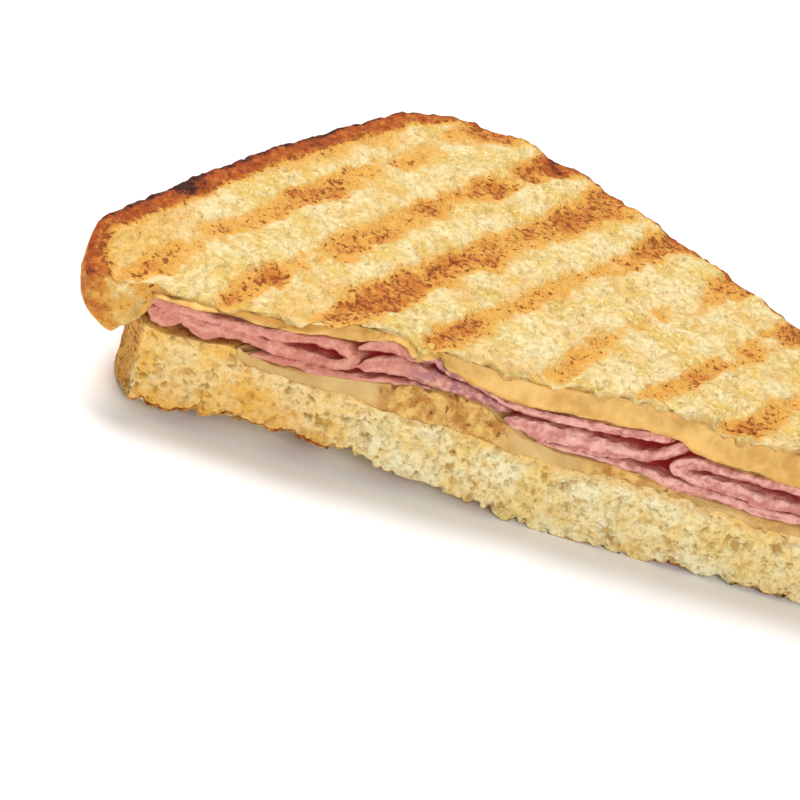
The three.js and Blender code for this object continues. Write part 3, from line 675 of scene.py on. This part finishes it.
# Top slice: the toasted face with its grill bars
topSlice = dict(
    height=24.7, slope=0.026, wave=0.25, toastRim=1.1, droopReach=11, shoulderWidth=3, shoulderDrop=0.8,
    curlDepth=1.6, curlStart=0.4, curlEnd=2.6, endReach=12, endRight=-65, tuck=[6.8, -80, -65], swell=0.8,
    crustEnd=-73.5, crustLean=0.58, crustTop=18,  # where the crust ends on the cut, at the left
    charSpots=[[-60, 29, 3, 0.9], [7.5, 70, 2.8, 1.15], [-1, 74, 2.5, 0.5]],  # [x, y, half width, depth]
    # crumbs that hang over the cheese, as [x, depth, half width]
    drops=[[-57.5, 0.7, 1.0], [-45.6, 1.3, 0.8], [-49.6, 0.7, 0.7], [-25.7, 2.6, 1.1], [-12, 1.0, 1.2],
           [3, 0.8, 0.9], [18, 0.8, 1.8], [27, 0.4, 2.5]],
    barPlaces=[10, 21.6, 33.3, 45.2, 58.3, 70.6, 82.3, 94, 105.6, 117], barDepth=0.55,
    barHalfWidths=[2.5, 2.5, 3.1, 2.6, 2.5, 2.5, 2.5, 2.5, 2.5, 2.5],
    # how brown each bar is, as [distance from the right leg, strength]
    bars=[[[0, 1.1], [8, 0.8], [14, 0.4], [20, 0.5], [30, 0.35], [40, 0.5], [46, 0.9], [56, 0.9], [64, 0.6],
           [72, 0.7], [80, 1.0], [86, 0.75], [92, 0.9], [100, 0.6]],
          [[0, 1.5], [6, 1.0], [10, 0.4], [13, 0.5], [18, 1.05], [23, 0.5], [29, 0.45], [35, 1.0], [40, 0.8],
           [45, 0.4], [50, 0.8], [57, 1.0], [65, 1.0], [70, 0.45], [75, 0.6], [79, 1.0], [85, 0.9], [92, 0.5]],
          [[0, 1.2], [8, 1.0], [16, 0.8], [22, 1.0], [32, 0.85], [45, 1.1], [90, 1.15]],
          [[0, 1.1], [6, 0.8], [12, 0.35], [24, 0.35], [30, 0.65], [40, 0.7], [48, 0.45], [54, 0.4], [60, 0.95],
           [68, 0.9], [76, 0.8]],
          [[0, 1.1], [5, 0.7], [10, 0.3], [30, 0.25], [38, 0.5], [46, 0.6], [54, 0.45], [66, 0.5]],
          [[0, 1.2], [5, 0.9], [9, 0.35], [16, 0.8], [22, 0.35], [32, 0.85], [40, 0.4], [50, 0.5]],
          [[0, 1.2], [10, 0.6], [18, 0.45], [25, 0.85], [34, 0.9], [45, 0.6]],
          [[0, 1.1], [12, 0.6], [30, 0.8]],
          [[0, 1.2], [10, 0.6], [24, 0.7]],
          [[0, 1.0], [12, 0.8]]],
    fineRow=0.43, coarseRow=0.62, change=84, columns=226, wallSteps=16,
    caps=[0.6, 1.8, 3.6, 6, 9, 13, 19, 27],
)


def shoulder(outline, x, y, width, drop):
    share = np.clip(outline.inward(x, y) / width, 0, 1)
    return drop * (1 - np.sqrt(1 - (1 - share) ** 2))


# How strongly each place lies on a grill bar, from 0 to about 1, wider and darker by the right leg's rim
def barShare(x, y, seed):
    a, b = toLegs(x, y)
    p = np.stack([a / 1.0, b / 3.2, np.zeros_like(a)], axis=-1)
    places = np.array(topSlice["barPlaces"])
    bar = np.abs(a[..., None] - places).argmin(axis=-1)
    away = np.abs(a - places[bar])
    atRim = 1 - ease(b, 1, 15)
    strength = np.zeros_like(a)
    for index, table in enumerate(topSlice["bars"]):
        strength = np.where(bar == index, np.interp(b, *np.transpose(table)), strength)
    width = np.array(topSlice["barHalfWidths"])[bar] * between(0.8, 1.15, np.clip(strength, 0, 1)) + 0.7 * atRim
    width = width + 0.8 * cloud(p, 2.0, seed)
    fine = np.stack([a, b, np.zeros_like(a)], axis=-1)
    across = 1 - ease(away + 1.2 * clouds(fine, 2.6, seed + 3), 0.3 * width, 1.4 * width)
    broken = strength + 0.4 * cloud(p, 4.0, seed + 1) + 0.45 * clouds(fine, 3.2, seed + 2)
    return across * np.clip(broken, 0, 1.7)


# Charred spots on the rim
def charred(x, y):
    return sum(depth * np.exp(-(((x - midX) / width) ** 2 + ((y - midY) / width) ** 2))
               for midX, midY, width, depth in topSlice["charSpots"])


def toastFace(x, y):
    wave = topSlice["wave"] * np.sin(x / 13) * np.cos(y / 11)
    face = topSlice["height"] + topSlice["slope"] * x + wave
    nearCut = 1 - ease(y, 0, topSlice["droopReach"])
    droop = (face - cutHeights["toast"](cutXOf(x, y)) - topSlice["toastRim"]) * nearCut
    return face - droop - shoulder(topOutline, x, y, topSlice["shoulderWidth"], topSlice["shoulderDrop"])


def topSliceBottom(x, y):
    beyond = ease(-bottomOutline.inward(x, y), topSlice["curlStart"], topSlice["curlEnd"])
    under = upperCheeseTop(x, y) + 0.1 - beyond * topSlice["curlDepth"]
    under = np.maximum(under, bottomSliceTop(x, y) * (1 - beyond))
    atLeftEnd = (1 - ease(y, 2, topSlice["endReach"])) * (x < topSlice["endRight"])
    return between(under, cutHeights["leftEnd"](x), atLeftEnd)


def buildTopSlice():
    outline = topOutline
    rows = outline.rows(topSlice["fineRow"], topSlice["coarseRow"], topSlice["change"])
    shares = np.linspace(0, 1, topSlice["columns"])
    low, high = outline.span(rows)
    b = between(low[:, None], high[:, None], shares)
    a = np.broadcast_to(rows[:, None], b.shape)
    x, y = swollen(a, b)
    flat = np.stack([x, y, np.zeros_like(x)], axis=-1)
    up = np.array([0.0, 0.0, 1.0])
    inward = outline.inward(x, y)
    nearCut, nearRim = 1 - ease(y, 0, 3.5), 1 - ease(inward, 0, 5)
    onCut = ease(inward, 0.5, 3)
    bars = barShare(x, y, 11)
    pores = np.minimum(bubbles(flat, up, 1.9, 0.4, 1.0, 21), 0.6)
    small = np.minimum(bubbles(flat, up, 1.1, 0.3, 0.6, 31), 0.45)
    pore = np.maximum(pores, small) * (1 - 0.35 * np.clip(bars, 0, 1)) * (1 - 0.6 * nearRim)
    z = toastFace(x, y) - topSlice["barDepth"] * bars - 0.8 * pore
    z = z + 0.32 * clouds(flat, 3.0, 41) + 0.26 * cloud(flat, 1.2, 45)
    z = z + nearCut * onCut * 0.9 * clouds(flat, 2.4, 51) + nearRim * 0.5 * clouds(flat, 4.2, 55)
    ragged = (1 - ease(y, 0, 4)) * onCut
    y = y - ragged * (0.75 + 1.3 * clouds(flat, 4.2, 61) + 0.7 * cloud(flat, 1.5, 65))
    x = x + ragged * 0.5 * cloud(flat, 2.1, 67)
    leftSide = ease(b - a, -8, 8) * ease(x, -77, -70)  # the left leg browns more than the right one
    reach = between(2.3, 5.0, leftSide)
    rim = 1 - ease(inward + 0.6 * clouds(flat, 3, 71), 0.5 * reach, reach)
    atRim = rim * between(0.7, 1.3, leftSide) * (1 + 0.25 * clouds(flat, 9, 73))
    atRim = atRim + between(0.6, 0.5, leftSide) * (1 - ease(inward, 0.4, 1.7))
    barEnd = 1 - ease(b, 3, 9)
    toasted = np.maximum(np.minimum(bars, 1.15) * (0.76 - 0.06 * barEnd), atRim) + 0.12 * bars * rim
    toasted = toasted + charred(x, y) * (1 + clouds(flat, 2.5, 77)) * np.maximum(rim, 1 - leftSide)
    toasted = toasted * (1 - 0.5 * (1 - ease(y, -1, 1.5)))
    atLeftEnd = (1 - ease(x, -68, -62)) * ease(inward, 2.5, 4.5)
    toasted = toasted * (1 - 0.85 * atLeftEnd * (1 - ease(y + 2 * clouds(flat, 2.2, 79), -1, 3.5)))
    yellowing = 0.2 * np.clip(clouds(flat, 9, 75) + 0.2, 0, 1) + 0.2 * (1 - ease(inward, 2, 9)) * leftSide
    toasted = np.maximum(toasted, yellowing) + 0.4 * yellowing
    border = borderOf(outline, rows, shares)
    count = len(border["x"])
    order = np.concatenate([
        np.arange(len(shares)), np.arange(2, len(rows) + 1) * len(shares) - 1,
        (len(rows) - 1) * len(shares) + np.arange(len(shares) - 2, -1, -1),
        np.arange(len(rows) - 2, 0, -1) * len(shares)])
    topPoints = np.stack([x, y, z], axis=-1).reshape(-1, 3)
    edge = topPoints[order]
    underX = tucked(border["x"], border["y"], topSlice["tuck"])
    underZ = topSliceBottom(underX, border["y"])
    hanging = np.stack([border["x"], border["y"], np.zeros(count)], axis=-1)
    hang = 2.0 * clouds(hanging, 3.2, 63) + 1.0 * cloud(hanging, 1.3, 64)
    drops = sum(depth * np.exp(-((border["x"] - middle) / width) ** 2) for middle, depth, width in topSlice["drops"])
    hang = np.clip(hang + 0.2, 0, 1.4) + drops
    underZ = underZ - border["cut"] * ease(border["x"], -66, -60) * hang
    share = np.linspace(0, 1, topSlice["wallSteps"] + 1)[1:-1, None]
    wallX = between(edge[:, 0], underX, share**2.8)
    wallY = between(edge[:, 1], border["y"], share)
    wallZ = between(edge[:, 2], underZ, share)
    place = np.stack([wallX, wallY, wallZ], axis=-1)
    outward = np.stack([border["outX"], border["outY"], np.zeros(count)], axis=-1)
    crustEdge = topSlice["crustEnd"] + topSlice["crustLean"] * (topSlice["crustTop"] - wallZ)
    crust = 1 - border["cut"] * ease(wallX - crustEdge + 2.2 * clouds(place, 1.7, 89), -0.9, 0.9)
    swell = topSlice["swell"] * between(0.1, 1, ease(border["x"], -78, -68))
    out = swell * np.sin(np.pi * share) * crust + 0.35 * clouds(place, 3.2, 81) + 0.5 * drops * share
    wallPore = np.minimum(bubbles(place, outward, 1.3, 0.25, 0.6, 85), 0.5) * between(1, 0.35, crust)
    out = out - wallPore + 0.4 * (1 - crust) * clouds(place, 2.2, 87)
    place = place + outward * (out * ease(share, 0, 0.3))[..., None]
    caps = 1 - np.array(topSlice["caps"])[:, None] / half["middleY"]
    lowX = half["middleX"] + (underX - half["middleX"]) * caps
    lowY = half["middleY"] + (border["y"] - half["middleY"]) * caps
    lowX, lowY = np.vstack([underX, lowX]), np.vstack([border["y"], lowY])
    below = np.stack([lowX, lowY, topSliceBottom(lowX, lowY)], axis=-1)
    rings = np.concatenate([place, below]).reshape(-1, 3)
    points = np.vstack([topPoints, rings, below[-1].mean(0)])
    i, j = np.meshgrid(np.arange(len(rows) - 1), np.arange(len(shares) - 1), indexing="ij")
    here = i * len(shares) + j
    sheet = np.stack([here, here + 1, here + len(shares) + 1, here + len(shares)], axis=-1).reshape(-1, 4)
    k = np.arange(count)
    after = (k + 1) % count
    first = len(topPoints)
    rimQuads = np.stack([order[k], first + k, first + after, order[after]], axis=-1)
    ringCount = len(place) + len(below)
    quads = np.vstack([sheet, rimQuads, ringQuads(first, ringCount, count)])
    pole = len(points) - 1
    triangles = poleTriangles(pole, pole - count, count, False)
    # The cut end on the left is pressed crumb, tan and smooth, inside the browned crust
    patchy = between(0.6, 0.2, ease(border["y"], 4, 16))
    wallToast = crust * (0.88 - 0.25 * share + patchy * clouds(place, 1.6, 91) + 0.3 * clouds(place, 12, 95))
    wallToast = wallToast + (1 - crust) * (wallX < -64) * np.clip(0.35 + 0.7 * clouds(place, 1.5, 99), 0, 1)
    soakStrength = np.clip(0.8 + 0.7 * clouds(place, np.where(wallX < -64, 2.0, 4)[..., None], 93), 0, 1)
    soakStart = np.where(wallX < -64, 0.05 + 0.6 * clouds(place, 2.6, 97), 0.15)
    wallSoak = border["cut"] * ease(share, soakStart, soakStart + 0.45) * soakStrength * (1 - crust)
    underToast = np.full(below.shape[:2], 0.2)
    # pore: the depths of the open bubbles, which the bread material paints as shade
    values = dict(
        toasted=np.concatenate([toasted.ravel(), wallToast.ravel(), underToast.ravel(), [0.2]]),
        crusted=np.concatenate([np.zeros(len(topPoints)), crust.ravel(), np.zeros(underToast.size + 1)]),
        pore=np.concatenate([(pore * 0.8).ravel(), wallPore.ravel(), np.zeros(underToast.size + 1)]),
        soaked=np.concatenate([np.zeros(len(topPoints)), wallSoak.ravel(), np.zeros(underToast.size + 1)]),
    )
    return makePiece("bread_top_toast", points, quads, triangles, values, "bread_top", toastMaterial)


# Bottom slice: open crumb at the cut, crust behind, and a grilled underside
bottomSlice = dict(edge=1.3, tuck=[3.1, -72, -50], base=-1.2, liftReach=16, swell=0.9, fineRow=0.27, coarseRow=0.4,
                   change=70, columns=230, wallSteps=54, caps=[24, 16, 11, 7, 4, 2, 0.8, 0])


def bottomSliceBottom(x, y):
    lift = (cutHeights["underside"](cutXOf(x, y)) - bottomSlice["base"]) * (1 - ease(
        y, 0, bottomSlice["liftReach"]))
    rim = shoulder(bottomOutline, x, y, 2 * bottomSlice["edge"], bottomSlice["edge"])
    rim = rim * (1 - 0.85 * (1 - ease(x, -62, -54)) * (1 - ease(y, 8, 20)))
    edge = np.stack([x, np.zeros_like(x)], axis=-1)
    torn = 0.5 * cloud(edge, 2.7, 153) + 1.1 * np.maximum(cloud(edge, 0.9, 151), 0)
    torn = np.maximum(lift + torn * (1 - ease(y, 0.3, 2)), 0)
    return bottomSlice["base"] + torn + rim


# 1 on the crust sides and 0 on the crumb, which also shows round the left end
def crustShare(border):
    atLeftEnd = (1 - ease(border["y"], 8, 14)) * (border["x"] < -40)
    return 1 - np.maximum(border["cut"], atLeftEnd) * ease(border["outY"], 0.28, 0.08)


def buildBottomSlice():
    rows = bottomOutline.rows(bottomSlice["fineRow"], bottomSlice["coarseRow"], bottomSlice["change"])
    shares = np.linspace(0, 1, bottomSlice["columns"])
    pore = []

    def wall(place, share, border):
        outward = np.stack([border["outX"], border["outY"], np.zeros(len(border["x"]))], axis=-1)
        crust = crustShare(border)
        uneven = place + 0.45 * np.stack([cloud(place, 0.8, 125 + k) for k in range(3)], axis=-1)
        hollows = 0.75 * np.tanh(np.maximum(bubbles(uneven, outward, 1.5, 0.25, 0.9, 121, 0.75),
                                            bubbles(uneven, outward, 0.8, 0.2, 0.45, 131)) / 0.75)
        hollows = hollows * between(1, 0.25, crust)
        pore.append(hollows * (1 - crust))
        swell = bottomSlice["swell"] * ease(border["x"], -64, -45)
        out = swell * np.sin(np.pi * share) * crust + 0.3 * clouds(place, 4, 141)
        out = out + 0.28 * cloud(place, 1.4, 145) - hollows
        return place + outward * out[..., None]

    points, border = ringLayer(bottomOutline, rows, shares, bottomSlice["caps"], bottomSlice["wallSteps"],
                               bottomSliceTop, bottomSliceBottom, wall, bottomSlice["tuck"])
    capCount = len(bottomSlice["caps"])
    rings, count = points.shape[:2]
    share = ringShares(bottomSlice["caps"], bottomSlice["wallSteps"])
    crust = crustShare(border)
    flat = points * [1, 1, 0]
    onWall = np.where((share > 0) & (share < 1), 1.0, 0.0)
    toasted = onWall * crust * (0.75 + 0.22 * clouds(points, 2.5, 171) + 0.3 * clouds(points, 12, 179))
    atEdge = onWall * border["cut"] * ease(share, 0.965, 0.985) * (1 - ease(points[..., 0], -34, -24))
    atEdge = atEdge * (1.5 + 0.6 * cloud(flat, 2.5, 173))
    below = np.where(share >= 1, 1.0, 0)
    nearEnd = (border["x"] < -60) & (border["y"] < 12)
    leftEdge = points[:, nearEnd, 0].min(axis=1)[:, None]
    fromEdge = points[..., 0] - leftEdge + 0.5 * clouds(points, 2, 177)
    atEnd = 0.58 * onWall * nearEnd * (1 - ease(fromEdge, 0.2, 1.4))
    onTop = np.where(share == 0, 0.45, 0)
    toasted = np.maximum(toasted + atEdge, atEnd) + onTop + 0.1 * np.clip(clouds(points, 7, 175), 0, 1)
    soaked = onWall * border["cut"] * (1 - ease(share + 0.1 * clouds(points, 5, 181), 0.03, 0.2)) * 0.5
    yellowed = between(0.04, 0.82, 1 - ease(points[..., 0] + 6 * clouds(points, 8, 183), -48, -24))
    soaked = np.maximum(soaked, onWall * border["cut"] * yellowed * (1 + 0.8 * clouds(points, 5, 185)))
    full = np.zeros((rings, count))
    full[capCount:rings - capCount] = pore[0]
    # pore: the depths of the open bubbles, which the bread material paints as shade
    values = dict(toasted=np.clip(toasted, 0, 1.7), crusted=onWall * crust, below=below, pore=np.clip(full * 1.2, 0, 1),
                  soaked=soaked)
    return ringPiece("bread_bottom_crumb", points, values, crumbMaterial, "bread_bottom")


# Cheese: the upper layer melted down to the ham, and the lower one thin on the bottom slice
cheese = dict(
    setback=3, radius=17, upperStart=12.5, lowerStart=25, swell=0.9, columns=120, fineRow=0.4, coarseRow=0.8,
    change=84, upperWall=22, lowerWall=14, caps=[24, 14, 8, 4, 1.5, 0],
    # rough toasted stains as [from x, to x, strength], rough toasting along the lower edge, and a painted shade line
    # along the lower edge over the ham, as [from x, to x, strength]
    upperStains=dict(patches=[[-35, -30, 0.5]], edge=0.8, drip=0, edgeShade=[
        [-58, -46, 1.5], [-41, -34, 1.4], [-33, -27.5, 1.5], [-25, -20.5, 1.3], [-2, 7, 1.2], [8, 12.5, 1.4],
        [24, 33, 1.3], [42, 50, 1.2]]),
    lowerStains=dict(patches=[[-28, -8, 1.0], [6, 15, 1.0], [17, 22, 0.7], [33, 40, 0.6]], edge=0.4, drip=1.0,
                     edgeShade=[]),
)


def buildCheese(name, node, start, top, bottom, steps, bulge, seed, material, stains):
    outline = Outline(start, cheese["setback"], half["rightLeg"] - cheese["setback"],
                      half["leftLeg"] - cheese["setback"], cheese["radius"])
    rows = outline.rows(cheese["fineRow"], cheese["coarseRow"], cheese["change"])
    shares = np.linspace(0, 1, cheese["columns"])

    def placed(patches, x, y, soft):
        return sum(amount * ease(x, left - soft, left + soft) * (1 - ease(x, right - soft, right + soft))
                   for left, right, amount in patches) * (y < 3)

    def wall(place, share, border):
        outward = np.stack([border["outX"], border["outY"], np.zeros(len(border["x"]))], axis=-1)
        along = place * [1, 1, 0.35]
        out = bulge * np.sin(np.pi * share**1.4) ** 0.8 * (1 + 0.5 * clouds(along, 7, seed))
        out = out + 0.22 * clouds(along, 3, seed + 5) + 0.08 * cloud(place, 1.1, seed + 7)
        rough = placed(stains["patches"], border["x"], border["y"], 3)
        out = out + 0.75 * rough * clouds(place, 1.8, seed + 13)
        over = ease(share, 0.55, 1) * border["cut"]
        drip = (np.sin(np.pi * share) * 0.5 * clouds(place * [1, 1, 0], 6, seed + 9)
                + stains["drip"] * over * np.maximum(clouds(place * [1, 1, 0], 3.4, seed + 15) + 0.25, 0))
        out = out + 0.35 * stains["drip"] * over
        return place + outward * out[..., None] - np.array([0, 0, 1.0]) * drip[..., None]

    points, border = ringLayer(outline, rows, shares, cheese["caps"], steps, top, bottom, wall)
    x = points[..., 0]
    share = ringShares(cheese["caps"], steps)
    edge = stains["edge"] * ease(share, 0.7, 1) * (0.5 + clouds(points, 3, seed + 11))
    toastAndShade = np.clip(placed(stains["patches"], x, points[..., 1], 3) + edge, 0, 1)
    height = top(border["x"], border["y"]) - bottom(border["x"], border["y"])
    above = (1 - share) * height + 0.3 * clouds(points * [1, 1, 0], 2, seed + 17)
    # Painted shade: a dark line just above the bottom of the wall, where the cheese meets the ham
    toastAndShade = toastAndShade + placed(stains["edgeShade"], x, points[..., 1], 1) * (1 - ease(above, 0.3, 0.7)) * (share < 1)
    toastAndShade = toastAndShade * (points[..., 1] < 3) * ease(share, 0, 0.05)
    return ringPiece(name, points, dict(toastAndShade=toastAndShade), material, node)


# Ham: a strip of meat swept back from the cut along the rows, with a flat ragged front
meat = dict(
    setback=13, leastReach=2, spacing=0.3, endShare=0.45, frontSteps=11, frontRound=0.4, raggedFine=0.55, raggedCoarse=0.8,
    relief=0.3, wobble=0.22, fray=0.3, backs=[18, 12, 8, 5.5, 3.8, 2.6, 1.7, 1.1, 0.7],
)


def buildHam(name, line, seed):
    p, length = smoothLine(line, meat["spacing"])
    thickness, p = p[:, 2], p[:, :2]
    tangent = np.gradient(p, axis=0)
    tangent /= np.linalg.norm(tangent, axis=1, keepdims=True)
    toEnd = np.minimum(length, length[-1] - length)
    flat = np.stack([length, np.full_like(length, 3.7 * seed)], axis=-1)
    halfThick = thickness / 2 * between(meat["endShare"], 1, ease(toEnd, 0, 1.2))
    halfThick = halfThick * (1 + 0.22 * clouds(flat, 2.6, seed))
    reach = cutAt((p[:, 0] + cutLength / 2) * half["rightLeg"] / cutLength) - meat["setback"]
    reach = np.maximum(reach, meat["leastReach"])
    front = np.linspace(1, -1, meat["frontSteps"])
    backs = np.concatenate([[1e3], meat["backs"]])
    sides = np.concatenate([np.ones(len(backs)), front, -np.ones(len(backs))])[:, None]
    backs = np.concatenate([backs, meat["frontRound"] * np.abs(front) ** 3, backs[::-1]])[:, None]
    stations = len(backs)
    fromEnd = np.minimum(np.arange(stations), np.arange(stations)[::-1])[:, None]
    back = np.minimum(backs, reach * (1 - 1.2 * fromEnd / stations))
    ragged = (meat["raggedCoarse"] * clouds(flat, 4.5, seed + 3)
              - meat["raggedFine"] * np.abs(cloud(flat, 1.3, seed + 5)))
    across = np.stack([np.broadcast_to(length, back.shape), sides * halfThick, np.full_like(back, 5.1 * seed)], axis=-1)
    frontness = np.exp(-back / 2.2)
    back = back + (ragged + meat["relief"] * clouds(across, 1.6, seed + 6) + 0.15) * frontness
    lateral = np.stack([np.broadcast_to(length, back.shape), back, np.full_like(back, 5.1 * seed)], axis=-1)
    wobble = meat["wobble"] * clouds(lateral, 5, seed + 8)
    fray = 1 + meat["fray"] * frontness * cloud(lateral, 1.2, seed + 12)
    offset = halfThick * fray * sides
    x = p[:, 0] - tangent[:, 1] * offset - back * alongLeft[0]
    y = -back * alongLeft[1]
    z = squeezed(p[:, 1] + tangent[:, 0] * offset + wobble, y)
    points = np.stack([x, y, z], axis=-1).transpose(1, 0, 2)  # a ring of stations at each place along the slice
    count = len(p)
    quads = ringQuads(0, count, stations)[:, ::-1]
    m = np.arange(stations // 2)
    start = np.stack([m, m + 1, stations - 2 - m, stations - 1 - m], axis=-1)
    end = (start + (count - 1) * stations)[:, ::-1]
    middle = start[:, 1] == start[:, 2]
    caps = np.vstack([start[~middle], end[~middle]])
    tips = np.vstack([start[middle][:, [0, 1, 3]], end[middle][:, [0, 2, 3]]])
    along = np.minimum(back, 50)
    streak = cloud(across * [0.16, 2.1, 1], 1.0, seed + 14)
    # The fold value grows with distance back from the cut, giving painted shade and a painted glow in the folds
    values = dict(edge=(np.exp(-np.maximum(along, 0) / 0.8) * np.abs(sides) ** 4).T * 0.8,
                  foldShadeGlow=ease(along, 0.9, 5).T * 0.95, streak=streak.T)
    return makePiece(name + "_meat", points.reshape(-1, 3), np.vstack([quads, caps]), tips, values, name, hamMeat)


buildTopSlice()
buildBottomSlice()
buildCheese("cheese_upper_melt", "cheese_upper", cheese["upperStart"], upperCheeseTop, upperCheeseBottom,
            cheese["upperWall"], 0.9, 201, amberCheese, cheese["upperStains"])
buildCheese("cheese_lower_melt", "cheese_lower", cheese["lowerStart"], lowerCheeseTop, bottomSliceTop,
            cheese["lowerWall"], 0.5, 221, paleCheese, cheese["lowerStains"])
for index, (name, line) in enumerate(hamSlices.items()):
    buildHam(name, line, 300 + 20 * index)
print("sandwich built")

# Floor, light and camera
studio = dict(azimuth=19.28, elevation=25.83, roll=25.01, distance=900, focal=6071, pictureWidth=800,
              shiftX=-17.95, shiftY=17.60, floorSize=6, skyStrength=0.38, keySize=0.6)


def buildCamera():
    a, e, r = (math.radians(studio[key]) for key in ("azimuth", "elevation", "roll"))
    back = np.array([-math.sin(a) * math.cos(e), -math.cos(a) * math.cos(e), math.sin(e)])
    right = np.cross(-back, [0, 0, 1])
    right /= np.linalg.norm(right)
    up = np.cross(right, -back)
    tiltedRight = math.cos(r) * right + math.sin(r) * up
    tiltedUp = -math.sin(r) * right + math.cos(r) * up
    place = back * studio["distance"] + studio["shiftX"] * tiltedRight + studio["shiftY"] * tiltedUp
    place = (place - [half["originX"], half["originY"], half["table"]]) / 1000
    data = bpy.data.cameras.new("camera")
    data.sensor_width = 36
    data.lens = studio["focal"] / studio["pictureWidth"] * data.sensor_width
    data.clip_start, data.clip_end = 0.05, 50
    camera = bpy.data.objects.new("camera", data)
    bpy.context.scene.collection.objects.link(camera)
    turned = np.eye(4)
    turned[:3, 0], turned[:3, 1], turned[:3, 2], turned[:3, 3] = tiltedRight, tiltedUp, back, place
    camera.matrix_world = Matrix(turned.tolist())
    bpy.context.scene.camera = camera
    return camera


def areaLight(name, place, size, power):
    data = bpy.data.lights.new(name, "AREA")
    data.shape, data.size, data.energy = "DISK", size, power
    light = bpy.data.objects.new(name, data)
    bpy.context.scene.collection.objects.link(light)
    direction = np.array(place, float)
    direction /= np.linalg.norm(direction)
    side = np.cross([0, 0, 1], direction)
    side /= np.linalg.norm(side)
    turned = np.eye(4)
    turned[:3, 0], turned[:3, 1], turned[:3, 2] = side, np.cross(direction, side), direction
    turned[:3, 3] = place
    light.matrix_world = Matrix(turned.tolist())
    return light


def buildStage():
    size = studio["floorSize"]
    mesh = bpy.data.meshes.new("floor")
    mesh.from_pydata([(-size, -size, 0), (size, -size, 0), (size, size, 0), (-size, size, 0)], [],
                     [(0, 1, 2, 3)])
    floor = bpy.data.objects.new("floor", mesh)
    bpy.context.scene.collection.objects.link(floor)
    material, tree, shader, place = newMaterial("floor_white")
    shader.inputs["Base Color"].default_value = (0.95, 0.95, 0.95, 1)
    shader.inputs["Roughness"].default_value = 0.9
    shader.inputs["Specular IOR Level"].default_value = 0.0
    mesh.materials.append(material)
    world = bpy.data.worlds.new("studio")
    world.use_nodes = True
    world.node_tree.nodes["Background"].inputs["Color"].default_value = (1, 1, 1, 1)
    world.node_tree.nodes["Background"].inputs["Strength"].default_value = studio["skyStrength"]
    bpy.context.scene.world = world
    areaLight("key", (-0.45, 0.35, 1.0), studio["keySize"], 13.5)
    areaLight("fill", (0.05, -1.2, 0.55), 0.8, 8.8)


buildCamera()
buildStage()
bpy.context.scene.view_settings.view_transform = "Standard"
print("stage ready")
